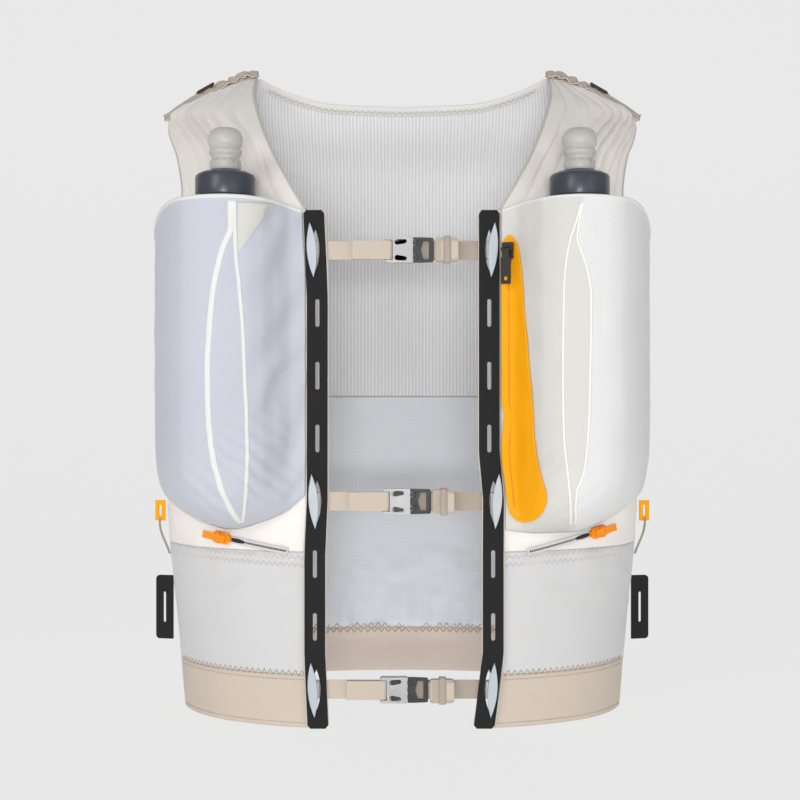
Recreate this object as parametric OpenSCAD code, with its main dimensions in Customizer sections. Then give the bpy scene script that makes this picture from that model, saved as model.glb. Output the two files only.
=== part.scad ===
/* [Torso] */
// Width of the vest at the chest
chest_w = 382; // [376:1:388]
// Width of the vest at the hem
hem_w = 344; // [340:1:350]
// Depth of the vest at the chest, front panels to back panel
chest_d = 234; // [233:0.5:235]
// Height of the neck corners, where the shoulder seams start
neck_z = 506; // [504:1:510]
// Height of the hem band
hem_h = 38; // [32:1:42]
// Thickness of the fabric panels
fabric_t = 1.2; // [0.8:0.1:1.4]

/* [Front rails] */
// Width of each slotted rail
rail_w = 15; // [14.5:0.5:15.5]
// Thickness of each rail
rail_t = 2; // [1.6:0.1:2]
// Length of each rail
rail_h = 374; // [372:1:376]
// Height of the lowest slot's middle
first_slot_z = 28; // [27.5:0.5:28.5]
// Distance between slots
slot_pitch = 45.3; // [45.2:0.1:45.4]
// Length of a small slot, end to end
small_slot_l = 20; // [16:1:22]
// Width of a small slot
small_slot_w = 3; // [2.6:0.1:3.4]

/* [Sternum straps] */
// Width of the webbing
webbing_w = 13.6; // [13:0.1:14]
// Thickness of the webbing
webbing_t = 1.2; // [1:0.1:1.2]
// Height of a side-release buckle, edge to edge
buckle_w = 18.6; // [18.6:0.1:19]

/* [Flasks] */
// Distance from the middle to a flask's axis
flask_x = 127; // [126:0.5:128]
// Diameter of the flask cap
cap_d = 43; // [41:0.5:44]
// Height of the flask cap
cap_h = 19; // [18:0.5:19]
// Diameter of the bite valve
valve_d = 25; // [23:0.5:26]

/* [Hidden] */
$fn = 48;
LEFT = -1;
RIGHT = 1;

// Colours
OFF_WHITE = [0.87, 0.86, 0.84];
HIP_WHITE = [0.84, 0.84, 0.85];
MESH_GREY = [0.85, 0.85, 0.86];
BLUE_GREY = [0.80, 0.80, 0.83];
LAVENDER = [0.78, 0.80, 0.86];
BEIGE = [0.86, 0.80, 0.74];
BLACK = [0.15, 0.15, 0.15];
NAVY = [0.26, 0.27, 0.33];
ORANGE = [0.97, 0.67, 0.02];
CLEAR_GREY = [0.75, 0.75, 0.75];
WHITE = [0.95, 0.95, 0.95];

// The body under the vest, as ovals: height, half width, half depth, middle's y
RINGS = [
    [0, hem_w / 2, chest_d / 2 + 1, 0],
    [60, hem_w / 2 + 5, chest_d / 2 + 1, 0],
    [130, chest_w / 2 - 7, chest_d / 2 + 0.5, 0],
    [250, chest_w / 2 - 2, chest_d / 2, 0],
    [330, chest_w / 2, chest_d / 2, 0],
    [380, chest_w / 2 + 1, chest_d / 2 - 2, 2],
    [430, chest_w / 2 - 1, 98, 18],
    [466, 190, 62, 30],
    [489, 160, 38, 42],
    [neck_z, 126, 12, 48]
];
// How square the ovals are: 2 is an ellipse
SQUARENESS = 2.3;

function ring_w(z) = lookup(z, [for (r = RINGS) [r[0], r[1]]]);
function ring_d(z) = lookup(z, [for (r = RINGS) [r[0], r[2]]]);
function ring_y(z) = lookup(z, [for (r = RINGS) [r[0], r[3]]]);
function signed_pow(v, e) = sign(v) * pow(abs(v), e);
function mix(a, b, t) = a + (b - a) * t;

// Point on the body at height z and angle f from the front's middle (180 is the
// back's middle), moved outward by off
function on_body(z, f, off) = [
    (ring_w(z) + off) * signed_pow(sin(f), 2 / SQUARENESS),
    ring_y(z) - (ring_d(z) + off) * signed_pow(cos(f), 2 / SQUARENESS),
    z
];
// Angle at which the body's front is x from the middle
function front_angle(z, x) = asin(pow(min(1, x / ring_w(z)), SQUARENESS / 2));

// Rails: each wanders a little, so its middle's distance from x = 0 changes with height
RAIL_LINE_L = [[0, 61], [55, 63.2], [125, 63.2], [165, 61.5], [200, 61.4], [310, 61.4], [374, 64]];
RAIL_LINE_R = [[0, 59], [55, 65.4], [125, 65.4], [165, 65.6], [200, 62.6], [310, 62.6], [374, 62.6]];
function rail_x(side, z) = lookup(z, side == LEFT ? RAIL_LINE_L : RAIL_LINE_R);
RAIL_Y = -115;
function slot_z(i) = first_slot_z + i * slot_pitch;
STRAP_SLOTS = [0, 3, 7];
SMALL_SLOTS = [1, 2, 4, 5, 6];

// Seams between the fabric pieces
SEAM_GAP = 0.4;
PANEL_EDGE = 5.5;
HIP_TOP = 127;
LOWER_BACK_TOP = 240;
SIDE_TOP = 300;
SIDE_SEAM_F = 78;
// Front edge of the armhole: height and angle
ARMHOLE_FRONT = [[0, 78], [300, 78], [340, 67], [388, 58.4], [424, 65], [450, 78], [466, 90], [neck_z, 90]];
// Inner edge of the shoulder panel above the rail: height and distance from the middle
NECK_LINE = [[374, 69.5], [391, 80], [429, 100], [460, 112], [489, 120], [neck_z, 121]];
// Back neckline and shoulder ridge: distance from the middle and height
BACK_TOP_LINE = [
    [0, 487], [60, 489], [95, 496], [115, 503], [121, 505.5], [126, 505.5],
    [143, 497.5], [160, 488], [176, 477], [190, 465.5]
];
// Half width of the back panel between the armholes
BACK_WIDTH = [[240, 184.8], [300, 185.6], [340, 178], [388, 172], [424, 178], [450, 186], [466, 190], [neck_z, 190]];

// Closed solid between two grids of points. Rows run up and columns run to the right,
// as seen from outside.
module shell(outer, inner) {
    rows = len(outer);
    cols = len(outer[0]);
    n = rows * cols;
    points = concat([for (r = outer) each r], [for (r = inner) each r]);
    skins = [
        for (r = [0:rows - 2], c = [0:cols - 2])
            let (a = r * cols + c, b = a + 1, d = a + cols, e = d + 1)
                each [[a, d, e, b], [n + a, n + b, n + e, n + d]]
    ];
    low_high = [
        for (c = [0:cols - 2])
            let (a = c, b = c + 1, d = n - cols + c, e = d + 1)
                each [[a, b, n + b, n + a], [e, d, n + d, n + e]]
    ];
    sides = [
        for (r = [0:rows - 2])
            let (a = r * cols, d = a + cols, b = a + cols - 1, e = b + cols)
                each [[d, a, n + a, n + d], [b, e, n + e, n + b]]
    ];
    polyhedron(points, concat(skins, low_high, sides));
}

// Shows the right-hand piece on the side asked for
module on_side(side) {
    if (side == LEFT) mirror([1, 0, 0]) children();
    else children();
}

// Values from a to b, n steps
function steps(a, b, n) = [for (i = [0:n]) mix(a, b, i / n)];

// ---- Fabric panels ----

function panel_inner_f(side, z) =
    front_angle(z, z <= rail_h ? rail_x(side, z) + PANEL_EDGE : lookup(z, NECK_LINE));

function front_grid(side, heights, cols, off) = [
    for (z = heights)
        let (f0 = panel_inner_f(side, z), f1 = lookup(z, ARMHOLE_FRONT) - SEAM_GAP / 4)
            [for (i = [0:cols]) on_body(z, mix(f0, f1, i / cols), off)]
];

module front_piece(side, heights, cols = 10) {
    on_side(side)
        shell(front_grid(side, heights, cols, 0), front_grid(side, heights, cols, -fabric_t));
}

CHEST_HEIGHTS = concat(
    [HIP_TOP + SEAM_GAP, 165, 200, 237, 270],
    [300, 320, 340, 360, 374, 391, 410, 429, 448, 466, 478, 489, 498, neck_z - 0.6]
);
module left_chest_panel() {
    color(OFF_WHITE) front_piece(LEFT, CHEST_HEIGHTS);
}
module right_chest_panel() {
    color(OFF_WHITE) front_piece(RIGHT, CHEST_HEIGHTS);
}
HIP_HEIGHTS = [hem_h + SEAM_GAP, 57, 90, 122, HIP_TOP];
module left_hip_panel() {
    color(HIP_WHITE) front_piece(LEFT, HIP_HEIGHTS);
}
module right_hip_panel() {
    color(HIP_WHITE) front_piece(RIGHT, HIP_HEIGHTS);
}
HEM_HEIGHTS = [0, hem_h / 2, hem_h];
module left_hem() {
    color(BEIGE) front_piece(LEFT, HEM_HEIGHTS);
}
module right_hem() {
    color(BEIGE) front_piece(RIGHT, HEM_HEIGHTS);
}

// Part of the body's wall between two angles, the same at every height
function band_grid(heights, f0, f1, cols, off) = [
    for (z = heights) [for (f = steps(f0, f1, cols)) on_body(z, f, off)]
];
module band(heights, f0, f1, cols) {
    shell(band_grid(heights, f0, f1, cols, 0), band_grid(heights, f0, f1, cols, -fabric_t));
}

SIDE_HEIGHTS = [0, 60, 130, 190, 250, SIDE_TOP];
module left_side_panel() {
    color(MESH_GREY) on_side(LEFT) band(SIDE_HEIGHTS, SIDE_SEAM_F, 180 - SIDE_SEAM_F, 4);
}
module right_side_panel() {
    color(MESH_GREY) band(SIDE_HEIGHTS, SIDE_SEAM_F, 180 - SIDE_SEAM_F, 4);
}

BACK_F = 180 - SIDE_SEAM_F + SEAM_GAP / 4;
module back_hem() {
    color(BEIGE) band(HEM_HEIGHTS, BACK_F, 360 - BACK_F, 24);
}
LOWER_BACK_HEIGHTS = [hem_h + SEAM_GAP, 60, 95, 130, 190, LOWER_BACK_TOP];
module lower_back_panel() {
    color(BLUE_GREY) band(LOWER_BACK_HEIGHTS, BACK_F, 360 - BACK_F, 24);
}

// Upper back: columns run from the right armhole round the back to the left one, and each
// ends at the neckline or the shoulder ridge
UPPER_BACK_ROWS = 12;
BACK_COLUMNS = concat(steps(1, 0.62, 8), [for (s = steps(0.52, -0.52, 10)) s], steps(-0.62, -1, 8));
function back_point(s, z, off) =
    let (x = min(abs(s) * lookup(z, BACK_WIDTH), ring_w(z) - 0.02))
    let (f = front_angle(z, x), p = on_body(z, 180 - f, off))
        [sign(s) * p[0], p[1], z];
function back_rise(s, t, low, drop) =
    mix(low, lookup(abs(s) * 190, BACK_TOP_LINE) - drop, t);
function back_grid(off) = [
    for (t = steps(0, 1, UPPER_BACK_ROWS))
        [for (s = BACK_COLUMNS) back_point(s, back_rise(s, t, LOWER_BACK_TOP + SEAM_GAP, 0.6), off)]
];
module back_panel() {
    color(MESH_GREY) shell(back_grid(0), back_grid(-fabric_t));
}

// Binding along the inside of the back neckline
BINDING_H = 7;
NECK_END_S = 0.63;
function binding_point(s, down, off) =
    let (
        last = (UPPER_BACK_ROWS - 1) / UPPER_BACK_ROWS,
        low = back_point(s, back_rise(s, last, LOWER_BACK_TOP + SEAM_GAP, 0.6), off),
        top = back_point(s, back_rise(s, 1, LOWER_BACK_TOP + SEAM_GAP, 0.6), off)
    )
        mix(top, low, down / (top[2] - low[2]));
function binding_grid(off) = [
    for (down = [BINDING_H, 0])
        [for (s = BACK_COLUMNS) if (abs(s) < NECK_END_S) binding_point(s, down, off)]
];
module neck_binding() {
    color(WHITE) shell(binding_grid(-fabric_t - 0.7), binding_grid(-fabric_t - 1.5));
}

// ---- Rails ----

// Outline drawn in x and z, standing up at the front, from y out to y + t
module front_plate(y, t) {
    translate([0, y + t, 0]) rotate([90, 0, 0]) linear_extrude(t) children();
}
module slot_outline(l, w) {
    translate([0, (w - l) / 2]) circle(d = w);
    translate([0, (l - w) / 2]) circle(d = w);
    square([w, l - w], center = true);
}
// Leaf shape, pointed at both ends: the long slots and the strap anchors in them
STRAP_SLOT_L = 30;
STRAP_SLOT_W = 6;
module leaf_outline(l, w) {
    polygon([
        for (t = steps(-1, 1, 10)) [w / 2 * (1 - t * t), l / 2 * t],
        for (t = steps(0.8, -0.8, 8)) [w / 2 * (t * t - 1), l / 2 * t]
    ]);
}
module rail(side) {
    heights = [for (p = side == LEFT ? RAIL_LINE_L : RAIL_LINE_R) p[0]];
    inner = [for (z = heights) [rail_x(side, z) - rail_w / 2, max(2.5, min(z, rail_h - 2.5))]];
    outer = [for (z = heights) [rail_x(side, z) + rail_w / 2, max(2.5, min(z, rail_h - 2.5))]];
    end = [2 - rail_w / 2, rail_w / 2 - 2];
    top = [for (x = end) [rail_x(side, rail_h) + x, rail_h]];
    foot = [for (x = end) [rail_x(side, 0) - x, 0]];
    on_side(side)
        front_plate(RAIL_Y, rail_t)
            difference() {
                polygon(concat(inner, top, [for (i = [len(outer) - 1:-1:0]) outer[i]], foot));
                for (i = STRAP_SLOTS)
                    translate([rail_x(side, slot_z(i)), slot_z(i)])
                        leaf_outline(STRAP_SLOT_L, STRAP_SLOT_W);
                for (i = SMALL_SLOTS)
                    translate([rail_x(side, slot_z(i)), slot_z(i)])
                        slot_outline(small_slot_l, small_slot_w);
            }
}
module left_rail() {
    color(BLACK) rail(LEFT);
}
module right_rail() {
    color(BLACK) rail(RIGHT);
}

// ---- Flask pockets ----

// Cross-section of a full pocket: distance from the middle and y, rail edge first
POCKET_SECTION = [
    [70, -115.4], [80, -119], [90, -129], [100, -139], [112, -144.6], [127, -146.5], [142, -144.6],
    [154, -139.5], [164, -129], [173, -112], [182, -82], [189, -52], [193, -26]
];
// Height of each pocket's lower edge across its width
POCKET_LOW_L = [[70, 168], [84, 156], [100, 149], [127, 142], [150, 146], [193, 165]];
POCKET_LOW_R = [[70, 143], [100, 140], [127, 140], [150, 146], [193, 165]];
POCKET_TOP = [[70, 374], [90, 379], [127, 381], [160, 380], [180, 374], [193, 364]];
// How the pocket fills out above its lower edge: height above it and fullness
POCKET_FILL = [[0, 0], [5, 0.35], [12, 0.6], [22, 0.8], [34, 0.93], [48, 1]];
// The rail edge follows the rail: how much each column moves with it
FOLLOW_RAIL = [[70, 1], [80, 0.6], [90, 0.2], [100, 0]];
RAIL_MEAN_X = 61.4;
// The lower edge is sewn to the body a little nearer the middle than the full pocket's side
BASE_PULL = [[70, 1], [193, 0.965]];

// The section's y, and its direction outward, at x from the middle
function section_y(x) = lookup(x, POCKET_SECTION);
function section_out(x) =
    let (d = [1, section_y(x + 0.5) - section_y(x - 0.5)]) [d[1], -1] / norm(d);
function pocket_low(side, x) = lookup(x, side == LEFT ? POCKET_LOW_L : POCKET_LOW_R);
// Point of the pocket's outer skin, or depth inside it
function pocket_point(side, x, z, depth) =
    let (
        base = on_body(z, front_angle(z, x * lookup(x, BASE_PULL)), 1.6 - depth),
        full = [x, section_y(x)] - section_out(x) * depth,
        fill = lookup(z - pocket_low(side, x), POCKET_FILL),
        shift = lookup(x, FOLLOW_RAIL) * (rail_x(side, z) - RAIL_MEAN_X)
    )
        [mix(base[0], full[0], fill) + shift, mix(base[1], full[1], fill), z];
function pocket_heights(side, x) =
    let (low = pocket_low(side, x))
        concat([for (f = POCKET_FILL) low + f[0]], steps(low + 60, lookup(x, POCKET_TOP), 6));
function pocket_grid(side, depth) =
    let (
        columns = [
            for (p = POCKET_SECTION)
                [for (z = pocket_heights(side, p[0])) pocket_point(side, p[0], z, depth)]
        ]
    )
        [for (r = [0:len(columns[0]) - 1]) [for (c = columns) c[r]]];
module flask_pocket(side) {
    on_side(side) shell(pocket_grid(side, 0), pocket_grid(side, fabric_t));
}
module left_flask_pocket() {
    color(LAVENDER) flask_pocket(LEFT);
}
module right_flask_pocket() {
    color(OFF_WHITE) flask_pocket(RIGHT);
}

// ---- Chest zip on the right pocket ----

// Right edge of the orange panel: height and distance from the middle
ZIP_PANEL_EDGE = [
    [147, 95], [151, 100], [158, 103], [168, 103], [180, 99], [197, 95.5], [237, 92.5], [295, 88],
    [340, 85.5], [352, 83], [358, 79.5]
];
ZIP_PANEL_GAP = 1.3;
ZIP_PANEL_T = 0.7;
ZIP_PANEL_INNER_X = 71.4;
function zip_panel_grid(off) = [
    for (e = ZIP_PANEL_EDGE)
        [for (x = steps(ZIP_PANEL_INNER_X, e[1], 6)) pocket_point(RIGHT, x, e[0], -off)]
];
module zip_panel() {
    color(ORANGE) shell(zip_panel_grid(ZIP_PANEL_GAP + ZIP_PANEL_T), zip_panel_grid(ZIP_PANEL_GAP));
}

// Zip slider and its pull, drawn at the origin facing -y
SLIDER_W = 8;
SLIDER_L = 14;
SLIDER_T = 3;
BAIL_R = 0.9;
BAIL_GAP = 0.08;
BAIL_OUT = 2;
PULL_L = 25;
PULL_T = 1.6;
module slider_shape() {
    difference() {
        translate([-SLIDER_W / 2, -SLIDER_T, -SLIDER_L / 2]) cube([SLIDER_W, SLIDER_T, SLIDER_L]);
        for (side = [-1, 1])
            translate([side * (SLIDER_W / 2 + 1), 0.5, -SLIDER_L / 2]) rotate([90, 0, 0])
                cylinder(r = 3, h = SLIDER_T + 1);
    }
    for (side = [-1, 1])
        translate([side * 3.2 - 0.6, -SLIDER_T - BAIL_OUT - BAIL_R, 1])
            cube([1.2, BAIL_OUT + BAIL_R, 2 * BAIL_R]);
    translate([-3.2, -SLIDER_T - BAIL_OUT, 1 + BAIL_R]) rotate([0, 90, 0]) cylinder(r = BAIL_R, h = 6.4);
}
module pull_shape(length = PULL_L, width = 7) {
    eye_r = 1.7;
    translate([0, -SLIDER_T - BAIL_OUT, 1 + BAIL_R])
        difference() {
            union() {
                translate([-2.4, 0, 0]) rotate([0, 90, 0]) cylinder(r = eye_r, h = 4.8);
                translate([-2.4, -eye_r, -8]) cube([4.8, PULL_T, 8]);
                translate([-width / 2, -eye_r, -length]) cube([width, PULL_T, length - 6]);
            }
            translate([-5, 0, 0]) rotate([0, 90, 0]) cylinder(r = BAIL_R + BAIL_GAP, h = 10);
            translate([0, 1, 4 - length]) rotate([90, 0, 0]) cylinder(r = 1.6, h = 6);
        }
}
ZIP_X = 76;
ZIP_Z = 343;
ZIP_TURN = -22;
module at_chest_zip() {
    translate([ZIP_X, section_y(ZIP_X) - 2.3, ZIP_Z]) rotate([0, 0, ZIP_TURN]) children();
}
module zip_slider() {
    color(BLACK) at_chest_zip() slider_shape();
}
module zip_pull() {
    color(BLACK) at_chest_zip() pull_shape();
}

// ---- Hip zips ----

// Each zip follows an arc round the hip: middle of the arc (distance from the middle, y, z),
// radius, heading at its middle, rise and half sweep
HIP_ZIP_R = 166;
function hip_zip(side) = side == LEFT
    ? [[110, -101.6, 132], 22, 9, 10]
    : [[122, -97.4, 134], 27, 12, 12];
ZIP_TAPE_H = 5;
module at_hip_zip(side) {
    z = hip_zip(side);
    on_side(side) translate(z[0]) rotate([0, -z[2], z[1]]) translate([0, HIP_ZIP_R, 0]) children();
}
// Arc of rectangle between radius r and r + t, from angle a to b, centred on height 0
module arc_band(r, t, h, a, b) {
    rotate([0, 0, -90 + a]) rotate_extrude(angle = b - a) translate([r, -h / 2]) square([t, h]);
}
module hip_zips() {
    color(WHITE)
        for (side = [LEFT, RIGHT])
            let (sweep = hip_zip(side)[3])
                at_hip_zip(side) arc_band(HIP_ZIP_R + 0.4, 0.8, ZIP_TAPE_H, -sweep, sweep);
}
HIP_SLIDER_A = [8, 8.5];
module hip_slider(side) {
    a = HIP_SLIDER_A[side == LEFT ? 0 : 1];
    at_hip_zip(side) rotate([0, 0, a]) translate([0, -HIP_ZIP_R - 1.6, 0]) {
        rotate([0, 90, 0]) slider_shape();
        translate([-4, -SLIDER_T - 2.2, -2.5]) cube([20, 1.4, 5]);
        translate([-4, -SLIDER_T - 2.2, -1.5]) cube([3, 2.4, 3]);
    }
}
module left_hip_slider() {
    color(ORANGE) hip_slider(LEFT);
}
module right_hip_slider() {
    color(ORANGE) hip_slider(RIGHT);
}

// ---- Sternum straps and buckles ----

UPPER = 7;
MIDDLE = 3;
LOWER = 0;
// x where each buckle's two halves meet
function meet_x(row) = row == UPPER ? 7.5 : row == MIDDLE ? 5.5 : 3.5;
module at_row(row) {
    translate([0, 0, slot_z(row)]) children();
}
// Flat length of webbing from x0 to x1, its front face at y
module webbing(x0, x1, y, w = webbing_w) {
    translate([x0, y, -w / 2]) cube([x1 - x0, webbing_t, w]);
}
STRAP_Y = RAIL_Y + rail_t + 0.2;
FEMALE_L = 20;
MALE_L = 15;
BUCKLE_FRONT = -117.4;
BUCKLE_BACK = -110;
BAR_Y = -114.2;
BAR_R = 1.3;
BAR_X = 2.2;
WINDOW_X = 5.6;

// Left webbing: two layers sewn together, folded round the buckle's bar
FOLD_L = 26;
module strap_left(row) {
    bar = meet_x(row) - FEMALE_L + BAR_X;
    out = 1.5 * BAR_R;
    at_row(row) {
        webbing(-rail_x(LEFT, slot_z(row)) - 4, bar - FOLD_L, STRAP_Y);
        webbing(bar - FOLD_L, bar, BAR_Y + out);
        webbing(bar - FOLD_L, bar, BAR_Y - out - webbing_t);
        translate([bar - FOLD_L, BAR_Y - out, -webbing_w / 2]) cube([8, 2 * out, webbing_w]);
        translate([bar, BAR_Y, -webbing_w / 2])
            difference() {
                cylinder(r = out + webbing_t, h = webbing_w);
                translate([0, 0, -1]) cylinder(r = out, h = webbing_w + 2);
                translate([-10, -5, -1]) cube([10, 10, webbing_w + 2]);
            }
    }
}
module upper_strap_left() {
    color(BEIGE) strap_left(UPPER);
}
module middle_strap_left() {
    color(BEIGE) strap_left(MIDDLE);
}
module lower_strap_left() {
    color(BEIGE) strap_left(LOWER);
}

// Socket half: a bar for the webbing, then a flat pocket open at the mouth and at both edges
CAVITY_FRONT = -116.3;
CAVITY_BACK = -113;
THROAT = 15.6;
module female_outline() {
    r = 2.2;
    x0 = r - FEMALE_L;
    hull() {
        for (z = [-1, 1]) translate([x0, z * (buckle_w / 2 - r)]) circle(r, $fn = 32);
        for (z = [-1, 1]) translate([-1, z * (buckle_w / 2 - 1)]) circle(1, $fn = 32);
    }
}
module buckle_female(row) {
    half = buckle_w / 2;
    floor_x = WINDOW_X - FEMALE_L + 1.2;
    at_row(row) translate([meet_x(row), 0, 0])
        difference() {
            front_plate(BUCKLE_FRONT, BUCKLE_BACK - BUCKLE_FRONT) female_outline();
            translate([BAR_X - FEMALE_L + BAR_R, -120, -webbing_w / 2 - 0.4])
                cube([WINDOW_X - BAR_X - BAR_R, 12, webbing_w + 0.8]);
            translate([-FEMALE_L - 1, -120, -webbing_w / 2 - 0.4])
                cube([BAR_X - BAR_R + 1, 12, webbing_w + 0.8]);
            for (y = [-120, BAR_Y + BAR_R])
                translate([-FEMALE_L - 1, y, -webbing_w / 2 - 0.4])
                    cube([WINDOW_X + 1, y == -120 ? 120 + BAR_Y - BAR_R : 6, webbing_w + 0.8]);
            translate([floor_x, CAVITY_FRONT, -THROAT / 2])
                cube([FEMALE_L, CAVITY_BACK - CAVITY_FRONT, THROAT]);
            for (side = [-1, 1])
                front_plate(BUCKLE_FRONT - 1, CAVITY_FRONT - BUCKLE_FRONT + 1.2)
                    hull() {
                        translate([-11.2, side * 5.6]) circle(1.9, $fn = 32);
                        translate([-6, side * 6.2]) circle(1.5, $fn = 32);
                    }
            translate([floor_x + 1, CAVITY_FRONT, -half - 1])
                cube([7, CAVITY_BACK - CAVITY_FRONT, 2 * half + 2]);
        }
}
module upper_buckle_female() {
    color(CLEAR_GREY) buckle_female(UPPER);
}
module middle_buckle_female() {
    color(CLEAR_GREY) buckle_female(MIDDLE);
}
module lower_buckle_female() {
    color(CLEAR_GREY) buckle_female(LOWER);
}

// Plug half: a frame with an arrow-shaped window, round seats for the prongs, and a bar
MALE_FRONT = -116.1;
MALE_BACK = -113.2;
GUIDE_W = 3;
PRONG_Z = 5;
PRONG_R = 1.5;
PRONG_GAP = 0.08;
SEAT_X = 2.6;
SEAT_MOUTH = 3.4;
module male_outline() {
    half = buckle_w / 2;
    difference() {
        union() {
            hull() {
                translate([0.2, -half + 0.2]) square([4, 2 * half - 0.4]);
                translate([MALE_L - 1.5, half - 2]) circle(1.5, $fn = 32);
                translate([MALE_L - 1.5, 2 - half]) circle(1.5, $fn = 32);
            }
            translate([-11, -GUIDE_W / 2]) square([12, GUIDE_W]);
        }
        polygon([[7.5, -6.6], [11.6, -6.6], [11.6, 6.6], [7.5, 6.6], [5.6, 0]]);
        for (side = [-1, 1]) {
            translate([SEAT_X, side * PRONG_Z]) circle(PRONG_R + PRONG_GAP);
            translate([-1, side * PRONG_Z - SEAT_MOUTH / 2]) square([3, SEAT_MOUTH]);
        }
    }
}
module buckle_male(row) {
    at_row(row) translate([meet_x(row), 0, 0])
        front_plate(MALE_FRONT, MALE_BACK - MALE_FRONT) male_outline();
}
module upper_buckle_male() {
    color(BLACK) buckle_male(UPPER);
}
module middle_buckle_male() {
    color(BLACK) buckle_male(MIDDLE);
}
module lower_buckle_male() {
    color(BLACK) buckle_male(LOWER);
}

// Sprung prong, its round root in the plug's seat and its swollen tip in the socket's side window
PRONG_L = 12.5;
PRONG_T = 2.4;
TIP_R = 2.1;
module prong(row, side) {
    at_row(row) translate([meet_x(row) + SEAT_X, 0, side * PRONG_Z])
        front_plate(MALE_FRONT + 0.1, MALE_BACK - MALE_FRONT - 0.2) {
            circle(PRONG_R);
            translate([-PRONG_L, -PRONG_T / 2]) square([PRONG_L, PRONG_T]);
            hull() {
                translate([-PRONG_L, side * 0.6]) circle(TIP_R, $fn = 32);
                translate([-PRONG_L + 4, side * 0.6]) circle(TIP_R - 0.8, $fn = 32);
            }
        }
}
module upper_prong_top() {
    color(BLACK) prong(UPPER, 1);
}
module upper_prong_bottom() {
    color(BLACK) prong(UPPER, -1);
}
module middle_prong_top() {
    color(BLACK) prong(MIDDLE, 1);
}
module middle_prong_bottom() {
    color(BLACK) prong(MIDDLE, -1);
}
module lower_prong_top() {
    color(BLACK) prong(LOWER, 1);
}
module lower_prong_bottom() {
    color(BLACK) prong(LOWER, -1);
}

// Spare webbing, folded up and held by an elastic keeper beside the plug
TAIL_FRONT = -121;
TAIL_BACK = -115.5;
TAIL_W = 17;
module strap_tail(row, x1) {
    x0 = meet_x(row) + MALE_L + 1;
    at_row(row) {
        front_plate(TAIL_FRONT, TAIL_BACK - TAIL_FRONT)
            hull()
                for (x = [x0 + 2, x1 - 2], z = [-1, 1])
                    translate([x, z * (TAIL_W / 2 - 2)]) circle(2, $fn = 32);
        translate([x0 - 0.9, MALE_FRONT, -6]) cube([4, MALE_BACK - MALE_FRONT, 12]);
    }
}
module upper_strap_tail() {
    color(BEIGE) strap_tail(UPPER, 40);
}
module middle_strap_tail() {
    color(BEIGE) strap_tail(MIDDLE, 37);
}
module lower_strap_tail() {
    color(BEIGE) strap_tail(LOWER, 37);
}

// Right webbing, fixed behind the rail, along which the plug slides
module strap_right(row) {
    at_row(row) webbing(meet_x(row) + 2, rail_x(RIGHT, slot_z(row)) + 4, STRAP_Y);
}
module upper_strap_right() {
    color(BEIGE) strap_right(UPPER);
}
module middle_strap_right() {
    color(BEIGE) strap_right(MIDDLE);
}
module lower_strap_right() {
    color(BEIGE) strap_right(LOWER);
}

// Toggles that hold the strap ends in the rails' long slots
TOGGLE_L = 40;
TOGGLE_W = 7;
TOGGLE_OUT = 2.6;
TOGGLE_LEAN = 4;
TOGGLE_T = 2.6;
module strap_anchors() {
    color(CLEAR_GREY)
        for (side = [LEFT, RIGHT], i = STRAP_SLOTS)
            translate([side * rail_x(side, slot_z(i)), 0, slot_z(i)]) {
                front_plate(RAIL_Y - TOGGLE_T, TOGGLE_T)
                    translate([side * TOGGLE_OUT, 0]) rotate(-side * TOGGLE_LEAN)
                        leaf_outline(TOGGLE_L, TOGGLE_W);
                front_plate(RAIL_Y, STRAP_Y - RAIL_Y) square([4, 12], center = true);
            }
}

// ---- Soft flasks ----

FLASK_Y = -121;
FLASK_R = 20;
FLASK_LOW = 190;
FLASK_SHOULDER = 350;
COLLAR_R = 16;
CAP_LOW = 401 - cap_h;
module at_flask(side) {
    translate([side * flask_x, FLASK_Y, 0]) children();
}
// Closed solid through a stack of rings, each a loop of points anticlockwise from above
module loft(rings) {
    n = len(rings[0]);
    last = (len(rings) - 1) * n;
    walls = [
        for (r = [0:len(rings) - 2], i = [0:n - 1])
            let (a = r * n + i, b = r * n + (i + 1) % n)
                [a, a + n, b + n, b]
    ];
    ends = [[for (i = [0:n - 1]) i], [for (i = [n - 1:-1:0]) last + i]];
    polyhedron([for (r = rings) each r], concat(walls, ends));
}
// Flattened bag, rounded at the bottom, drawn in to the collar at the shoulder: each ring's
// height, half depth and half width beyond that
FLASK_RINGS = [
    [FLASK_LOW, 9, 8], [FLASK_LOW + 2, 13, 10], [FLASK_LOW + 6, 17, 11.5], [FLASK_LOW + 12, FLASK_R, 12],
    [FLASK_SHOULDER, FLASK_R, 12], [360, 19.2, 8], [369, 17.5, 3], [CAP_LOW - 6, COLLAR_R, 0]
];
function flask_ring(r) = [
    for (i = [0:31])
        let (a = (i + 0.5) * 360 / 32)
            [r[1] * cos(a) + r[2] * sign(cos(a)), r[1] * sin(a), r[0]]
];
module flask(side) {
    at_flask(side) loft([for (r = FLASK_RINGS) flask_ring(r)]);
}
module left_flask() {
    color(CLEAR_GREY) flask(LEFT);
}
module right_flask() {
    color(CLEAR_GREY) flask(RIGHT);
}
// Rigid threaded neck that is moulded into the bag
NECK_R = 14;
module flask_collar(side) {
    at_flask(side)
        difference() {
            union() {
                translate([0, 0, CAP_LOW - 6]) cylinder(r = 18, h = 4.5);
                translate([0, 0, CAP_LOW - 2]) cylinder(r = NECK_R, h = 14);
            }
            translate([0, 0, CAP_LOW - 7]) cylinder(r = NECK_R - 2, h = 20);
        }
}
module left_flask_collar() {
    color(CLEAR_GREY) flask_collar(LEFT);
}
module right_flask_collar() {
    color(CLEAR_GREY) flask_collar(RIGHT);
}
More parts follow.
